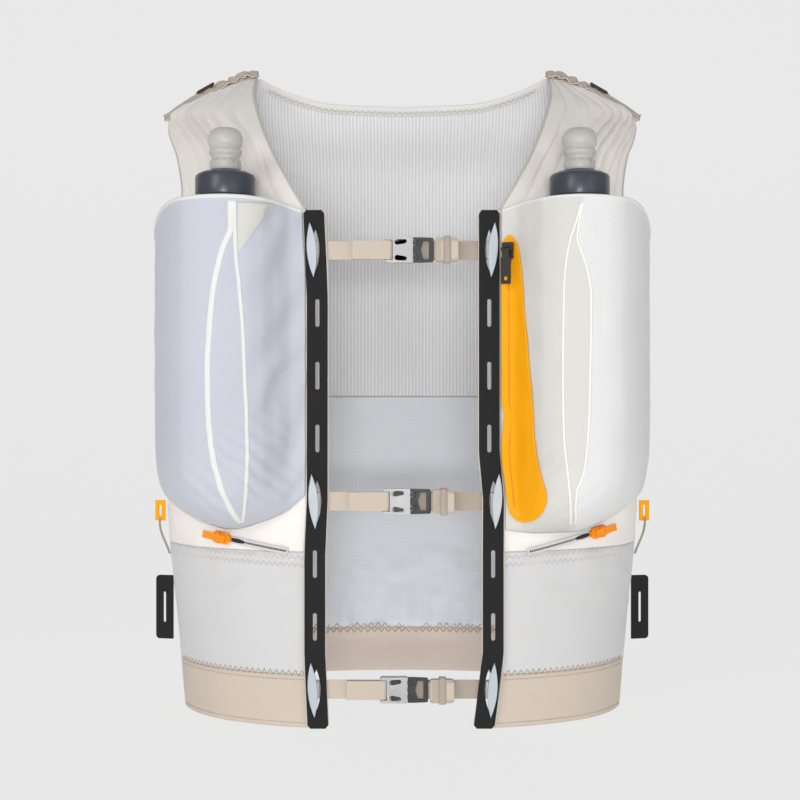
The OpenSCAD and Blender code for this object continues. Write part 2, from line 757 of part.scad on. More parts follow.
// Screw cap with a stem for the valve
STEM_R = 6;
CAP_WALL = 2.4;
module cap(side) {
    r = cap_d / 2;
    top = CAP_LOW + cap_h;
    at_flask(side) {
        rotate_extrude()
            polygon([
                [NECK_R + 0.1, CAP_LOW], [r - 1, CAP_LOW], [r, CAP_LOW + 1], [r, top - 5], [r - 1, top - 3],
                [r - 5, top - 1], [STEM_R + 4, top], [STEM_R, top], [STEM_R, top + 20], [2.5, top + 20],
                [2.5, top - CAP_WALL], [NECK_R + 0.1, top - CAP_WALL]
            ]);
    }
}
module left_cap() {
    color(NAVY) cap(LEFT);
}
module right_cap() {
    color(NAVY) cap(RIGHT);
}
// Push-pull bite valve: a wide ribbed head on a narrower skirt
VALVE_H = 30;
module bite_valve(side) {
    r = valve_d / 2;
    low = CAP_LOW + cap_h + 0.4;
    at_flask(side)
        rotate_extrude()
            polygon([
                [STEM_R + 0.1, low], [r - 2, low], [r - 1.2, low + 2], [r - 1.2, low + 6],
                [r - 2.6, low + 8], [r - 2.6, low + 9.5], [r - 0.8, low + 12], [r - 0.8, low + 14],
                [r - 2, low + 16], [r - 0.5, low + 18], [r, low + 20], [r, low + 24],
                [r - 2, low + 28], [r - 5, low + VALVE_H], [1.5, low + VALVE_H],
                [1.5, low + 25.5], [STEM_R + 0.1, low + 25.5]
            ]);
}
module left_bite_valve() {
    color(CLEAR_GREY) bite_valve(LEFT);
}
module right_bite_valve() {
    color(CLEAR_GREY) bite_valve(RIGHT);
}

// ---- Shoulders ----

// Shoulder ridge from the neck corner to the tip
RIDGE = [
    [120, 46.5, 507], [126, 47.5, 507], [143, 45, 499], [160, 42, 489.5], [176, 36, 479], [193, 29, 465]
];
RIDGE_BAND = 15;
module ridge_webbing(side) {
    rows = [for (t = [-1, -0.5, 0, 0.5, 1]) [t * RIDGE_BAND / 2, 0.4 - 1.8 * t * t]];
    outer = [for (r = rows) [for (p = RIDGE) p + [0, r[0], r[1] + webbing_t + 1]]];
    inner = [for (r = rows) [for (p = RIDGE) p + [0, r[0], r[1] + 1]]];
    on_side(side) shell(outer, inner);
}
module shoulder_webbing() {
    color(BEIGE)
        for (side = [LEFT, RIGHT]) ridge_webbing(side);
}
// Ladder-lock: a small two-slot frame that tips up to let the webbing run
LOCK_POINT = [163, 41, 492];
LOCK_FALL = 32;
LOCK_YAW = -14;
LOCK_L = 15;
LOCK_W = 17;
LOCK_T = 2.4;
module at_lock(side) {
    on_side(side) translate(LOCK_POINT) rotate([0, LOCK_FALL, LOCK_YAW]) children();
}
module ladder_lock(side) {
    at_lock(side) {
        difference() {
            union() {
                translate([-LOCK_L / 2, -LOCK_W / 2, 0]) cube([LOCK_L, LOCK_W, LOCK_T]);
                translate([-LOCK_L / 2, LOCK_W / 2, LOCK_T / 2]) rotate([90, 0, 0])
                    cylinder(r = LOCK_T / 2, h = LOCK_W);
            }
            for (x = [-4.6, 1.4])
                translate([x, -LOCK_W / 2 + 2, -1]) cube([3.2, LOCK_W - 4, LOCK_T + 2]);
        }
    }
}
module left_ladder_lock() {
    color(BLACK) ladder_lock(LEFT);
}
module right_ladder_lock() {
    color(BLACK) ladder_lock(RIGHT);
}

// ---- Side loops ----

// Stands a flat loop on the body's side at height z, reaching out sideways
LOOP_Y = -16;
LOOP_TURN = 12;
module at_side(side, z) {
    on_side(side)
        translate([ring_w(z) + 2, LOOP_Y, z]) rotate([0, 0, LOOP_TURN]) children();
}
POLE_LOOP_H = 50;
POLE_LOOP_W = 14;
POLE_LOOP_Z = 74;
module pole_loops() {
    color(BLACK)
        for (side = [LEFT, RIGHT])
            at_side(side, POLE_LOOP_Z)
                front_plate(-1, 2)
                    difference() {
                        hull() {
                            translate([0, -POLE_LOOP_H / 2]) square([1, POLE_LOOP_H]);
                            for (end = [-1, 1])
                                translate([POLE_LOOP_W - 3, end * (POLE_LOOP_H / 2 - 3)]) circle(3);
                        }
                        translate([POLE_LOOP_W / 2, 0]) slot_outline(24, 2.4);
                    }
}
PULL_TAB_H = 16;
PULL_TAB_Z = 150;
module pull_tabs() {
    color(ORANGE)
        for (side = [LEFT, RIGHT])
            at_side(side, PULL_TAB_Z)
                front_plate(-0.8, 1.6)
                    difference() {
                        translate([0, -PULL_TAB_H / 2]) square([8, PULL_TAB_H]);
                        translate([4, 0]) slot_outline(9, 2.4);
                    }
}

// ---- Back compartment ----

BAG_W = 115;
BAG_LOW = 70;
BAG_TOP = 425;
BAG_DEPTH = 25;
BAG_WALL = 1;
// Fullness across (u) and up (v), each from -1 to 1
function fullness(u) = 1 - pow(abs(u), 3);
function bag_point(u, z, extra) =
    let (
        v = 2 * (z - BAG_LOW) / (BAG_TOP - BAG_LOW) - 1,
        p = on_body(z, 180 - front_angle(z, abs(u) * BAG_W), 0.4 + extra)
    )
        [sign(u) * p[0], p[1] + BAG_DEPTH * fullness(u) * fullness(v), z];
BAG_COLUMNS = steps(1, -1, 14);
function bag_grid(extra) = [
    for (z = steps(BAG_LOW, BAG_TOP, 14)) [for (u = BAG_COLUMNS) bag_point(u, z, extra)]
];
module back_compartment() {
    color(OFF_WHITE) shell(bag_grid(BAG_WALL), bag_grid(0));
}
// Zip across the back compartment, its slider on an arc that follows the curve
BACK_ZIP_R = 225;
BACK_ZIP_U = 0.6;
BACK_ZIP_Z = 340;
BACK_SLIDER_A = 13;
function bag_y(z) = bag_point(0, z, BAG_WALL)[1];
module at_back_zip() {
    translate([0, bag_y(BACK_ZIP_Z) - BACK_ZIP_R, BACK_ZIP_Z]) rotate([0, 0, 180]) children();
}
function back_zip_grid(extra) = [
    for (h = [-ZIP_TAPE_H / 2, ZIP_TAPE_H / 2])
        [
            for (u = BAG_COLUMNS)
                if (abs(u) < BACK_ZIP_U) bag_point(u, BACK_ZIP_Z + h, BAG_WALL + extra)
        ]
];
module back_zip() {
    color(WHITE) shell(back_zip_grid(1.2), back_zip_grid(0.5));
}
module back_zip_slider() {
    color(ORANGE)
        at_back_zip() rotate([0, 0, BACK_SLIDER_A]) translate([0, -BACK_ZIP_R - 3, 0]) {
            rotate([0, 90, 0]) slider_shape();
            translate([-22, -SLIDER_T - 2.2, -4]) cube([24, 1.4, 8]);
            translate([-1, -SLIDER_T - 2.2, -1.5]) cube([3, 2.4, 3]);
        }
}

// ---- Nodes ----

left_chest_panel();
right_chest_panel();
left_hip_panel();
right_hip_panel();
left_hem();
right_hem();
left_side_panel();
right_side_panel();
back_hem();
lower_back_panel();
back_panel();
neck_binding();
left_rail();
right_rail();
left_flask_pocket();
right_flask_pocket();
zip_panel();
zip_slider();
zip_pull();
hip_zips();
left_hip_slider();
right_hip_slider();
upper_strap_left();
middle_strap_left();
lower_strap_left();
upper_buckle_female();
middle_buckle_female();
lower_buckle_female();
upper_buckle_male();
middle_buckle_male();
lower_buckle_male();
upper_prong_top();
upper_prong_bottom();
middle_prong_top();
middle_prong_bottom();
lower_prong_top();
lower_prong_bottom();
upper_strap_tail();
middle_strap_tail();
lower_strap_tail();
upper_strap_right();
middle_strap_right();
lower_strap_right();
strap_anchors();
left_flask();
right_flask();
left_flask_collar();
right_flask_collar();
left_cap();
right_cap();
left_bite_valve();
right_bite_valve();
shoulder_webbing();
left_ladder_lock();
right_ladder_lock();
pole_loops();
pull_tabs();
back_compartment();
back_zip();
back_zip_slider();
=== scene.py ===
"""Looks of the hydration pack: fabric, webbing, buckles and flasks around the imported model."""

import math

import bpy
import numpy as np
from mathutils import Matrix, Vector, noise


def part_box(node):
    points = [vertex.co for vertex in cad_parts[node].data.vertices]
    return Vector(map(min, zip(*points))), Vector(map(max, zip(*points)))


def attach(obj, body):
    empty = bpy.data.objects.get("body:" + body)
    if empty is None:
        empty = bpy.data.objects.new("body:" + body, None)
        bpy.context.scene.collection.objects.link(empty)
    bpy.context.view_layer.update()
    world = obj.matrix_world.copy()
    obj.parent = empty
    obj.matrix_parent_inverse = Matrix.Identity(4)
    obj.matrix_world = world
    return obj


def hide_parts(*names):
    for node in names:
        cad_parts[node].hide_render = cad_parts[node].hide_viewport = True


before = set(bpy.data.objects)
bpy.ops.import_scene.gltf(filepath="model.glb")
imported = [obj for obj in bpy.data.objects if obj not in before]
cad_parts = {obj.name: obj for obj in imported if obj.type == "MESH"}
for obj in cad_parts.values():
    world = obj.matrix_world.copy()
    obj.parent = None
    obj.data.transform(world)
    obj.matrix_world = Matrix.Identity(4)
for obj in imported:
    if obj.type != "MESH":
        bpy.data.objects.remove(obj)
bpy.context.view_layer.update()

MM = 0.001
LEFT, RIGHT = -1, 1
SIDES = ((LEFT, "left"), (RIGHT, "right"))


# ---------------------------------------------------------------- camera, light and floor

FLOOR_GREY = (0.10, 0.10, 0.10)
FLOOR_GLOW = 0.75


def set_view():
    scene = bpy.context.scene
    camera = bpy.data.cameras.new("camera")
    camera.lens = 66.3
    camera.sensor_width = 36
    eye = bpy.data.objects.new("camera", camera)
    eye.location = (-0.0018, -1.177, 0.237)
    eye.rotation_euler = (math.radians(90), 0, 0)
    scene.collection.objects.link(eye)
    scene.camera = eye
    scene.view_settings.view_transform = "Standard"


def add_area(name, place, aim, size, watts):
    lamp = bpy.data.lights.new(name, "AREA")
    lamp.shape = "DISK"
    lamp.size = size
    lamp.energy = watts
    obj = bpy.data.objects.new(name, lamp)
    obj.location = place
    obj.rotation_euler = (Vector(aim) - Vector(place)).to_track_quat("-Z", "Y").to_euler()
    bpy.context.scene.collection.objects.link(obj)


def add_light():
    world = bpy.data.worlds.new("studio")
    world.use_nodes = True
    world.node_tree.nodes["Background"].inputs["Color"].default_value = (1, 1, 1, 1)
    world.node_tree.nodes["Background"].inputs["Strength"].default_value = 0.28
    bpy.context.scene.world = world
    add_area("key", (-1.0, -1.6, 1.0), (0, 0, 0.27), 0.8, 8)
    add_area("fill", (1.1, -1.5, 0.6), (0, 0, 0.25), 1.1, 3)
    add_area("front", (0, -2.7, 0.12), (0, 0.1, 0.2), 0.7, 42)


def add_floor():
    """A floor that curves up behind the object, all one pale grey."""
    near, far, bend, wall, half = -4.0, 1.6, 0.9, 4.0, 5.0
    profile = [(near, 0.0), (far, 0.0)]
    for i in range(1, 13):
        a = math.radians(90 * i / 12)
        profile.append((far + bend * math.sin(a), bend * (1 - math.cos(a))))
    profile.append((far + bend, wall))
    verts = [(x, y, z - 0.0005) for y, z in profile for x in (-half, half)]
    faces = [(2 * i, 2 * i + 1, 2 * i + 3, 2 * i + 2) for i in range(len(profile) - 1)]
    mesh = bpy.data.meshes.new("floor")
    mesh.from_pydata(verts, [], faces)
    mesh.polygons.foreach_set("use_smooth", [True] * len(mesh.polygons))
    floor = bpy.data.objects.new("floor", mesh)
    bpy.context.scene.collection.objects.link(floor)
    mat = bpy.data.materials.new("floor")
    mat.use_nodes = True
    shader = mat.node_tree.nodes["Principled BSDF"]
    shader.inputs["Base Color"].default_value = (*FLOOR_GREY, 1)
    shader.inputs["Emission Color"].default_value = (1, 1, 1, 1)
    shader.inputs["Emission Strength"].default_value = FLOOR_GLOW
    shader.inputs["Roughness"].default_value = 1.0
    shader.inputs["Specular IOR Level"].default_value = 0.0
    mesh.materials.append(mat)


# ---------------------------------------------------------------- materials


class Graph:
    """Short names for the shader nodes that the materials use."""

    def __init__(self, name, rough, sheen=0.0, spec=0.3):
        self.mat = bpy.data.materials.new(name)
        self.mat.use_nodes = True
        self.nodes = self.mat.node_tree.nodes
        self.links = self.mat.node_tree.links
        self.shader = self.nodes["Principled BSDF"]
        self.shader.inputs["Roughness"].default_value = rough
        self.shader.inputs["Sheen Weight"].default_value = sheen
        self.shader.inputs["Sheen Roughness"].default_value = 0.5
        self.shader.inputs["Specular IOR Level"].default_value = spec

    def put(self, socket, value):
        if isinstance(value, bpy.types.NodeSocket):
            self.links.new(value, socket)
        else:
            socket.default_value = value

    def math(self, kind, a, b=0.0, c=0.0):
        node = self.nodes.new("ShaderNodeMath")
        node.operation = kind
        for socket, value in zip(node.inputs, (a, b, c)):
            self.put(socket, value)
        return node.outputs[0]

    def uv(self):
        """Across and along the piece, in millimetres."""
        node = self.nodes.new("ShaderNodeUVMap")
        node.uv_map = "cloth"
        split = self.nodes.new("ShaderNodeSeparateXYZ")
        self.links.new(node.outputs["UV"], split.inputs[0])
        return [self.math("MULTIPLY", split.outputs[i], 1000.0) for i in (0, 1)]

    def place(self):
        return self.nodes.new("ShaderNodeTexCoord").outputs["Object"]

    def noise(self, scale, detail=3.0, vector=None):
        node = self.nodes.new("ShaderNodeTexNoise")
        node.inputs["Scale"].default_value = scale
        node.inputs["Detail"].default_value = detail
        self.links.new(vector or self.place(), node.inputs["Vector"])
        return node.outputs["Fac"]

    def wave(self, coord, pitch):
        """0 to 1 and back, once each pitch."""
        turned = self.math("MULTIPLY", coord, 2 * math.pi / pitch)
        return self.math("MULTIPLY_ADD", self.math("SINE", turned), 0.5, 0.5)

    def line(self, coord, pitch, width):
        """1 on a thin line once each pitch, else 0."""
        part = self.math("FRACT", self.math("DIVIDE", coord, pitch))
        return self.math("LESS_THAN", part, width / pitch)

    def blend(self, fac, a, b):
        node = self.nodes.new("ShaderNodeMix")
        node.data_type = "RGBA"
        self.put(node.inputs["Factor"], fac)
        self.put(node.inputs["A"], a if isinstance(a, bpy.types.NodeSocket) else (*a, 1))
        self.put(node.inputs["B"], b if isinstance(b, bpy.types.NodeSocket) else (*b, 1))
        return node.outputs["Result"]

    def span(self, value, low, high):
        node = self.nodes.new("ShaderNodeMapRange")
        self.links.new(value, node.inputs["Value"])
        node.inputs["To Min"].default_value = low
        node.inputs["To Max"].default_value = high
        return node.outputs["Result"]

    def finish(self, colour, height=None, bump=0.3, depth=0.0003):
        self.put(self.shader.inputs["Base Color"], colour)
        if height is not None:
            node = self.nodes.new("ShaderNodeBump")
            node.inputs["Strength"].default_value = bump
            node.inputs["Distance"].default_value = depth
            self.links.new(height, node.inputs["Height"])
            self.links.new(node.outputs["Normal"], self.shader.inputs["Normal"])
        return self.mat


def shade(colour, k):
    return tuple(min(1.0, c * k) for c in colour)


def srgb(r, g, b):
    """Linear colour of an 8-bit screen colour."""
    return tuple(((v / 255 + 0.055) / 1.055) ** 2.4 for v in (r, g, b))


def ripstop(name, colour, cell=5.0, dark=0.9, line=1.05):
    """Plain weave with thicker yarns in squares."""
    g = Graph(name, 0.62, sheen=0.12, spec=0.25)
    u, v = g.uv()
    weave = g.math("MULTIPLY", g.wave(u, 0.7), g.wave(v, 0.7))
    grid = g.math("MAXIMUM", g.line(u, cell, 0.5), g.line(v, cell, 0.5))
    mottled = g.span(g.noise(28.0), 0.0, 1.0)
    base = g.blend(mottled, shade(colour, 0.94), shade(colour, 1.04))
    woven = g.blend(weave, g.blend(0.5, base, shade(colour, dark)), base)
    final = g.blend(g.math("MULTIPLY", grid, 0.6), woven, shade(colour, line))
    height = g.math("ADD", weave, grid)
    return g.finish(final, height, 0.35)


def rib_mesh(name, colour, pitch=3.0):
    """Upright ribs with small holes between them, as on a sweat-wicking back."""
    g = Graph(name, 0.85, sheen=0.15, spec=0.2)
    u, v = g.uv()
    rib = g.wave(u, pitch)
    hole = g.math("MULTIPLY", g.wave(v, 1.6), g.math("SUBTRACT", 1.0, rib))
    base = g.blend(g.noise(14.0), shade(colour, 0.95), shade(colour, 1.04))
    ribs = g.blend(rib, shade(colour, 0.84), base)
    final = g.blend(g.math("MULTIPLY", hole, 0.4), ribs, shade(colour, 0.68))
    return g.finish(final, g.math("SUBTRACT", rib, hole), 0.5, 0.0005)


def knit_mesh(name, colour, pitch=1.5, row=1.3, contrast=0.85):
    """Stretch mesh: small staggered holes."""
    g = Graph(name, 0.8, sheen=0.2, spec=0.2)
    u, v = g.uv()
    stagger = g.math("MULTIPLY_ADD", g.math("FLOOR", g.math("DIVIDE", v, row)), pitch / 2, u)
    hole = g.math("MULTIPLY", g.wave(stagger, pitch), g.wave(v, row))
    mottled = g.noise(9.0, 4.0)
    fine = g.noise(220.0, 2.0)
    base = g.blend(mottled, shade(colour, 0.93), shade(colour, 1.06))
    base = g.blend(g.math("MULTIPLY", fine, 0.3), base, shade(colour, 1.1))
    final = g.blend(hole, base, shade(colour, contrast))
    return g.finish(final, g.math("SUBTRACT", 1.0, hole), 0.4)


def woven_band(name, colour, rib=1.1, across=2.2, rough=0.8, bump=0.6):
    """Webbing or tape: a herringbone of thick yarns."""
    g = Graph(name, rough, sheen=0.1, spec=0.2)
    u, v = g.uv()
    slant = g.math("ADD", u, g.math("MULTIPLY", g.math("PINGPONG", v, across), 0.8))
    yarn = g.wave(slant, rib)
    row = g.wave(v, 0.8)
    base = g.blend(g.noise(60.0), shade(colour, 0.92), shade(colour, 1.05))
    final = g.blend(g.math("MULTIPLY", yarn, row), shade(colour, 0.78), base)
    return g.finish(final, g.math("ADD", yarn, row), bump, 0.0003)


def plain_knit(name, colour, rough=0.75, pitch=0.9):
    """Smooth stretch knit with faint upright wales."""
    g = Graph(name, rough, sheen=0.2, spec=0.2)
    u, v = g.uv()
    wale = g.math("MULTIPLY", g.wave(u, pitch), g.wave(v, pitch * 1.2))
    base = g.blend(g.noise(11.0), shade(colour, 0.95), shade(colour, 1.03))
    final = g.blend(wale, base, shade(colour, 0.95))
    return g.finish(final, wale, 0.25, 0.0002)


def film(name, colour):
    """Bonded film with a slight pebble and softly worn tone."""
    g = Graph(name, 0.6, sheen=0.0, spec=0.2)
    base = g.blend(g.noise(18.0), shade(colour, 0.93), shade(colour, 1.03))
    pebble = g.noise(1400.0, 1.0)
    return g.finish(base, pebble, 0.2, 0.0002)


def plastic(name, colour, rough=0.42, see=0.0, grain=900.0):
    """Moulded plastic with fine grain and slightly scuffed gloss."""
    g = Graph(name, rough, spec=0.5)
    g.shader.inputs["Transmission Weight"].default_value = see
    g.shader.inputs["IOR"].default_value = 1.45
    base = g.blend(g.noise(70.0), shade(colour, 0.9), shade(colour, 1.06))
    g.links.new(g.span(g.noise(120.0), rough - 0.08, rough + 0.12), g.shader.inputs["Roughness"])
    return g.finish(base, g.noise(grain, 2.0), 0.15, 0.0002)


def thread(name, colour):
    g = Graph(name, 0.7, sheen=0.3, spec=0.2)
    base = g.blend(g.noise(400.0), shade(colour, 0.9), shade(colour, 1.05))
    return g.finish(base, g.noise(2500.0, 1.0), 0.3, 0.0001)


# ---------------------------------------------------------------- colours of the real cloth

OFF_WHITE = srgb(243, 238, 232)
HIP_WHITE = srgb(210, 209, 209)
MESH_GREY = srgb(236, 236, 238)
BLUE_GREY = srgb(226, 228, 234)
LAVENDER = srgb(196, 199, 210)
GRID_WHITE = srgb(226, 226, 226)
BEIGE = srgb(226, 212, 196)
TAPE_BLACK = srgb(36, 36, 37)
PLASTIC_BLACK = srgb(30, 30, 32)
NAVY = srgb(66, 69, 79)
CLEAR_GREY = srgb(196, 196, 196)
ORANGE = srgb(246, 168, 2)
DEEP_ORANGE = srgb(250, 146, 10)
BINDING_WHITE = srgb(228, 228, 225)
THREAD_BEIGE = srgb(176, 160, 140)
THREAD_WHITE = srgb(204, 200, 194)


# ---------------------------------------------------------------- the body's shape, in millimetres


def smooth(z, table):
    """Smooth curve through (place, value) pairs that never overshoots them."""
    xs, ys = np.array(table, float).T
    slopes = np.diff(ys) / np.diff(xs)
    m = np.empty(len(xs))
    m[0], m[-1] = slopes[0], slopes[-1]
    for i in range(1, len(xs) - 1):
        a, b = slopes[i - 1], slopes[i]
        m[i] = 0 if a * b <= 0 else 2 * a * b / (a + b)
    z = np.asarray(z, float)
    i = np.clip(np.searchsorted(xs, z, side="right") - 1, 0, len(xs) - 2)
    h = xs[i + 1] - xs[i]
    t = np.clip((z - xs[i]) / h, 0, 1)
    start = (2 * t**3 - 3 * t**2 + 1) * ys[i] + (t**3 - 2 * t**2 + t) * h * m[i]
    return start + (3 * t**2 - 2 * t**3) * ys[i + 1] + (t**3 - t**2) * h * m[i + 1]


# Height, half width, half depth and middle's y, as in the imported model
RINGS = [
    (0, 172, 118, 0), (60, 177, 118, 0), (130, 184, 117.5, 0), (250, 189, 117, 0), (330, 191, 117, 0),
    (380, 192, 115, 2), (430, 190, 98, 18), (466, 190, 62, 30), (489, 160, 38, 42), (506, 126, 12, 48),
]
SQUARENESS = 2.3
SIDE_SEAM = math.radians(78)
BACK_EDGE = math.pi - SIDE_SEAM
RAIL_LINE = {
    LEFT: [(0, 61), (55, 63.2), (125, 63.2), (165, 61.5), (200, 61.4), (310, 61.4), (374, 64)],
    RIGHT: [(0, 59), (55, 65.4), (125, 65.4), (165, 65.6), (200, 62.6), (310, 62.6), (374, 62.6)],
}
RAIL_TOP = 374
RAIL_MEAN_X = 61.4
NECK_LINE = [(374, 69.5), (391, 80), (429, 100), (460, 112), (489, 120), (506, 121)]
ARMHOLE = [(0, 78), (300, 78), (340, 67), (388, 58.4), (424, 65), (450, 78), (466, 90), (506, 90)]
BACK_TOP = [
    (0, 487), (60, 489), (95, 496), (115, 503), (121, 505.5), (126, 505.5),
    (143, 497.5), (160, 488), (176, 477), (190, 465.5),
]
BACK_WIDTH = [(300, 186.5), (340, 178), (388, 172), (424, 178), (450, 186), (466, 190), (506, 190)]
HEM_TOP, HIP_TOP, LOWER_BACK_TOP, SIDE_TOP = 38, 127, 240, 300
CLOTH = 1.1


def ring(z):
    return [smooth(z, [(r[0], r[k]) for r in RINGS]) for k in (1, 2, 3)]


def spow(v, e):
    return np.sign(v) * np.abs(v) ** e


def on_body(z, f, off=0.0):
    """Points at height z and angle f from the front's middle, moved out by off."""
    a, b, middle = ring(z)
    x = (a + off) * spow(np.sin(f), 2 / SQUARENESS)
    y = middle - (b + off) * spow(np.cos(f), 2 / SQUARENESS)
    return np.stack(np.broadcast_arrays(x, y, np.asarray(z, float)), -1)


def front_angle(z, x):
    a = ring(z)[0]
    return np.arcsin(np.clip(np.abs(x) / a, 0, 1) ** (SQUARENESS / 2))


def rail_x(side, z):
    return smooth(z, RAIL_LINE[side])


def ripple(a, b, seed, detail=2):
    """Smooth repeatable noise, about -1 to 1, over two arrays."""
    a, b = np.broadcast_arrays(a, b)
    flat = [
        noise.fractal(Vector((p, q, seed)), 0.9, 2.1, detail) for p, q in zip(a.ravel(), b.ravel())
    ]
    return np.array(flat).reshape(a.shape)


def bell(v, middle, width):
    return np.exp(-(((v - middle) / width) ** 2))


# ---------------------------------------------------------------- mesh making


def grid_normals(p):
    across = np.gradient(p, axis=1)
    up = np.gradient(p, axis=0)
    n = np.cross(across, up)
    size = np.linalg.norm(n, axis=-1, keepdims=True)
    return n / np.maximum(size, 1e-9)


def grid_uv(p):
    """Distance across and along the cloth from its lower left corner, in metres."""
    u = np.zeros(p.shape[:2])
    v = np.zeros(p.shape[:2])
    u[:, 1:] = np.cumsum(np.linalg.norm(np.diff(p, axis=1), axis=-1), axis=1)
    u -= u[:, u.shape[1] // 2 : u.shape[1] // 2 + 1]
    v[1:] = np.cumsum(np.linalg.norm(np.diff(p, axis=0), axis=-1), axis=0)
    return np.stack([u, v], -1) * MM


def run_length(path):
    """Distance from the path's start to each of its points."""
    return np.concatenate([[0], np.cumsum(np.linalg.norm(np.diff(path, axis=0), axis=1))])


def along_path(at, run, values):
    """Values between the path's points, at the given distances from its start."""
    return np.stack([np.interp(at, run, values[:, k]) for k in range(3)], -1)


def make_object(name, verts, faces, uvs, mat, smooth_faces=True):
    mesh = bpy.data.meshes.new(name)
    mesh.from_pydata([tuple(v) for v in verts], [], faces)
    if uvs is not None:
        layer = mesh.uv_layers.new(name="cloth")
        index = np.empty(len(mesh.loops), int)
        mesh.loops.foreach_get("vertex_index", index)
        layer.data.foreach_set("uv", np.asarray(uvs, float)[index].ravel())
    mesh.polygons.foreach_set("use_smooth", [smooth_faces] * len(mesh.polygons))
    mesh.materials.append(mat)
    mesh.validate()
    obj = bpy.data.objects.new(name, mesh)
    bpy.context.scene.collection.objects.link(obj)
    return obj


def sheet_object(name, p, mat, thick=CLOTH):
    """Closed piece of cloth: p is its outer face in millimetres, rows up and columns to the right."""
    rows, cols = p.shape[:2]
    n = rows * cols
    inner = p - grid_normals(p) * thick
    verts = np.concatenate([p.reshape(-1, 3), inner.reshape(-1, 3)]) * MM
    uv = grid_uv(p).reshape(-1, 2)
    a = np.arange(n).reshape(rows, cols)
    quads = np.stack([a[:-1, :-1], a[:-1, 1:], a[1:, 1:], a[1:, :-1]], -1).reshape(-1, 4)
    faces = quads.tolist() + (quads[:, ::-1] + n).tolist()
    rim = np.concatenate([a[0, :-1], a[:-1, -1], a[-1, :0:-1], a[:0:-1, 0]])
    nxt = np.roll(rim, -1)
    faces += np.stack([nxt, rim, rim + n, nxt + n], -1).tolist()
    return make_object(name, verts, faces, np.concatenate([uv, uv]), mat)


def mirrored(p, side):
    q = p.copy()
    if side == LEFT:
        q[..., 0] *= -1
        q = q[:, ::-1]
    return q


def tube_object(name, path, radius, mat, sides=8):
    """Closed round cord along a list of points in millimetres."""
    path = np.asarray(path, float)
    tangent = np.gradient(path, axis=0)
    tangent /= np.linalg.norm(tangent, axis=1, keepdims=True)
    guide = np.array([0.0, 1.0, 0.0])
    first = np.cross(tangent, guide)
    first /= np.maximum(np.linalg.norm(first, axis=1, keepdims=True), 1e-6)
    second = np.cross(tangent, first)
    radius = np.broadcast_to(radius, len(path))
    verts, faces, uvs = [], [], []
    run = run_length(path)
    for i, p in enumerate(path):
        for k in range(sides):
            a = 2 * math.pi * k / sides
            spoke = first[i] * math.cos(a) + second[i] * math.sin(a)
            verts.append((p + radius[i] * spoke) * MM)
            uvs.append((radius[i] * a * MM, run[i] * MM))
    for i in range(len(path) - 1):
        for k in range(sides):
            j = (k + 1) % sides
            faces.append((i * sides + k, i * sides + j, (i + 1) * sides + j, (i + 1) * sides + k))
    last = (len(path) - 1) * sides
    faces.append(tuple(range(sides))[::-1])
    faces.append(tuple(last + k for k in range(sides)))
    return make_object(name, verts, faces, uvs, mat)


def stitch_object(name, points, normals, mat, radius=0.28, lift=0.15):
    """Sewn thread: each pair of points is one stitch lying on the cloth."""
    verts, faces = [], []
    ring_size = 5
    for (a, b), n in zip(points, normals):
        a, b, n = np.asarray(a, float), np.asarray(b, float), np.asarray(n, float)
        along = b - a
        side_dir = np.cross(along, n)
        size = np.linalg.norm(side_dir)
        if size < 1e-6:
            continue
        side_dir /= size
        start = len(verts)
        for t, r, up in ((0.0, 0.45, 0.0), (0.25, 1.0, 1.0), (0.75, 1.0, 1.0), (1.0, 0.45, 0.0)):
            centre = a + along * t + n * (lift * up)
            for k in range(ring_size):
                w = 2 * math.pi * k / ring_size
                verts.append((centre + radius * r * (side_dir * math.cos(w) + n * math.sin(w))) * MM)
        for i in range(3):
            for k in range(ring_size):
                j = (k + 1) % ring_size
                row = start + i * ring_size
                faces.append((row + k, row + ring_size + k, row + ring_size + j, row + j))
        faces.append(tuple(start + k for k in range(ring_size)))
        faces.append(tuple(start + 3 * ring_size + k for k in range(ring_size))[::-1])
    return make_object(name, verts, faces, None, mat)


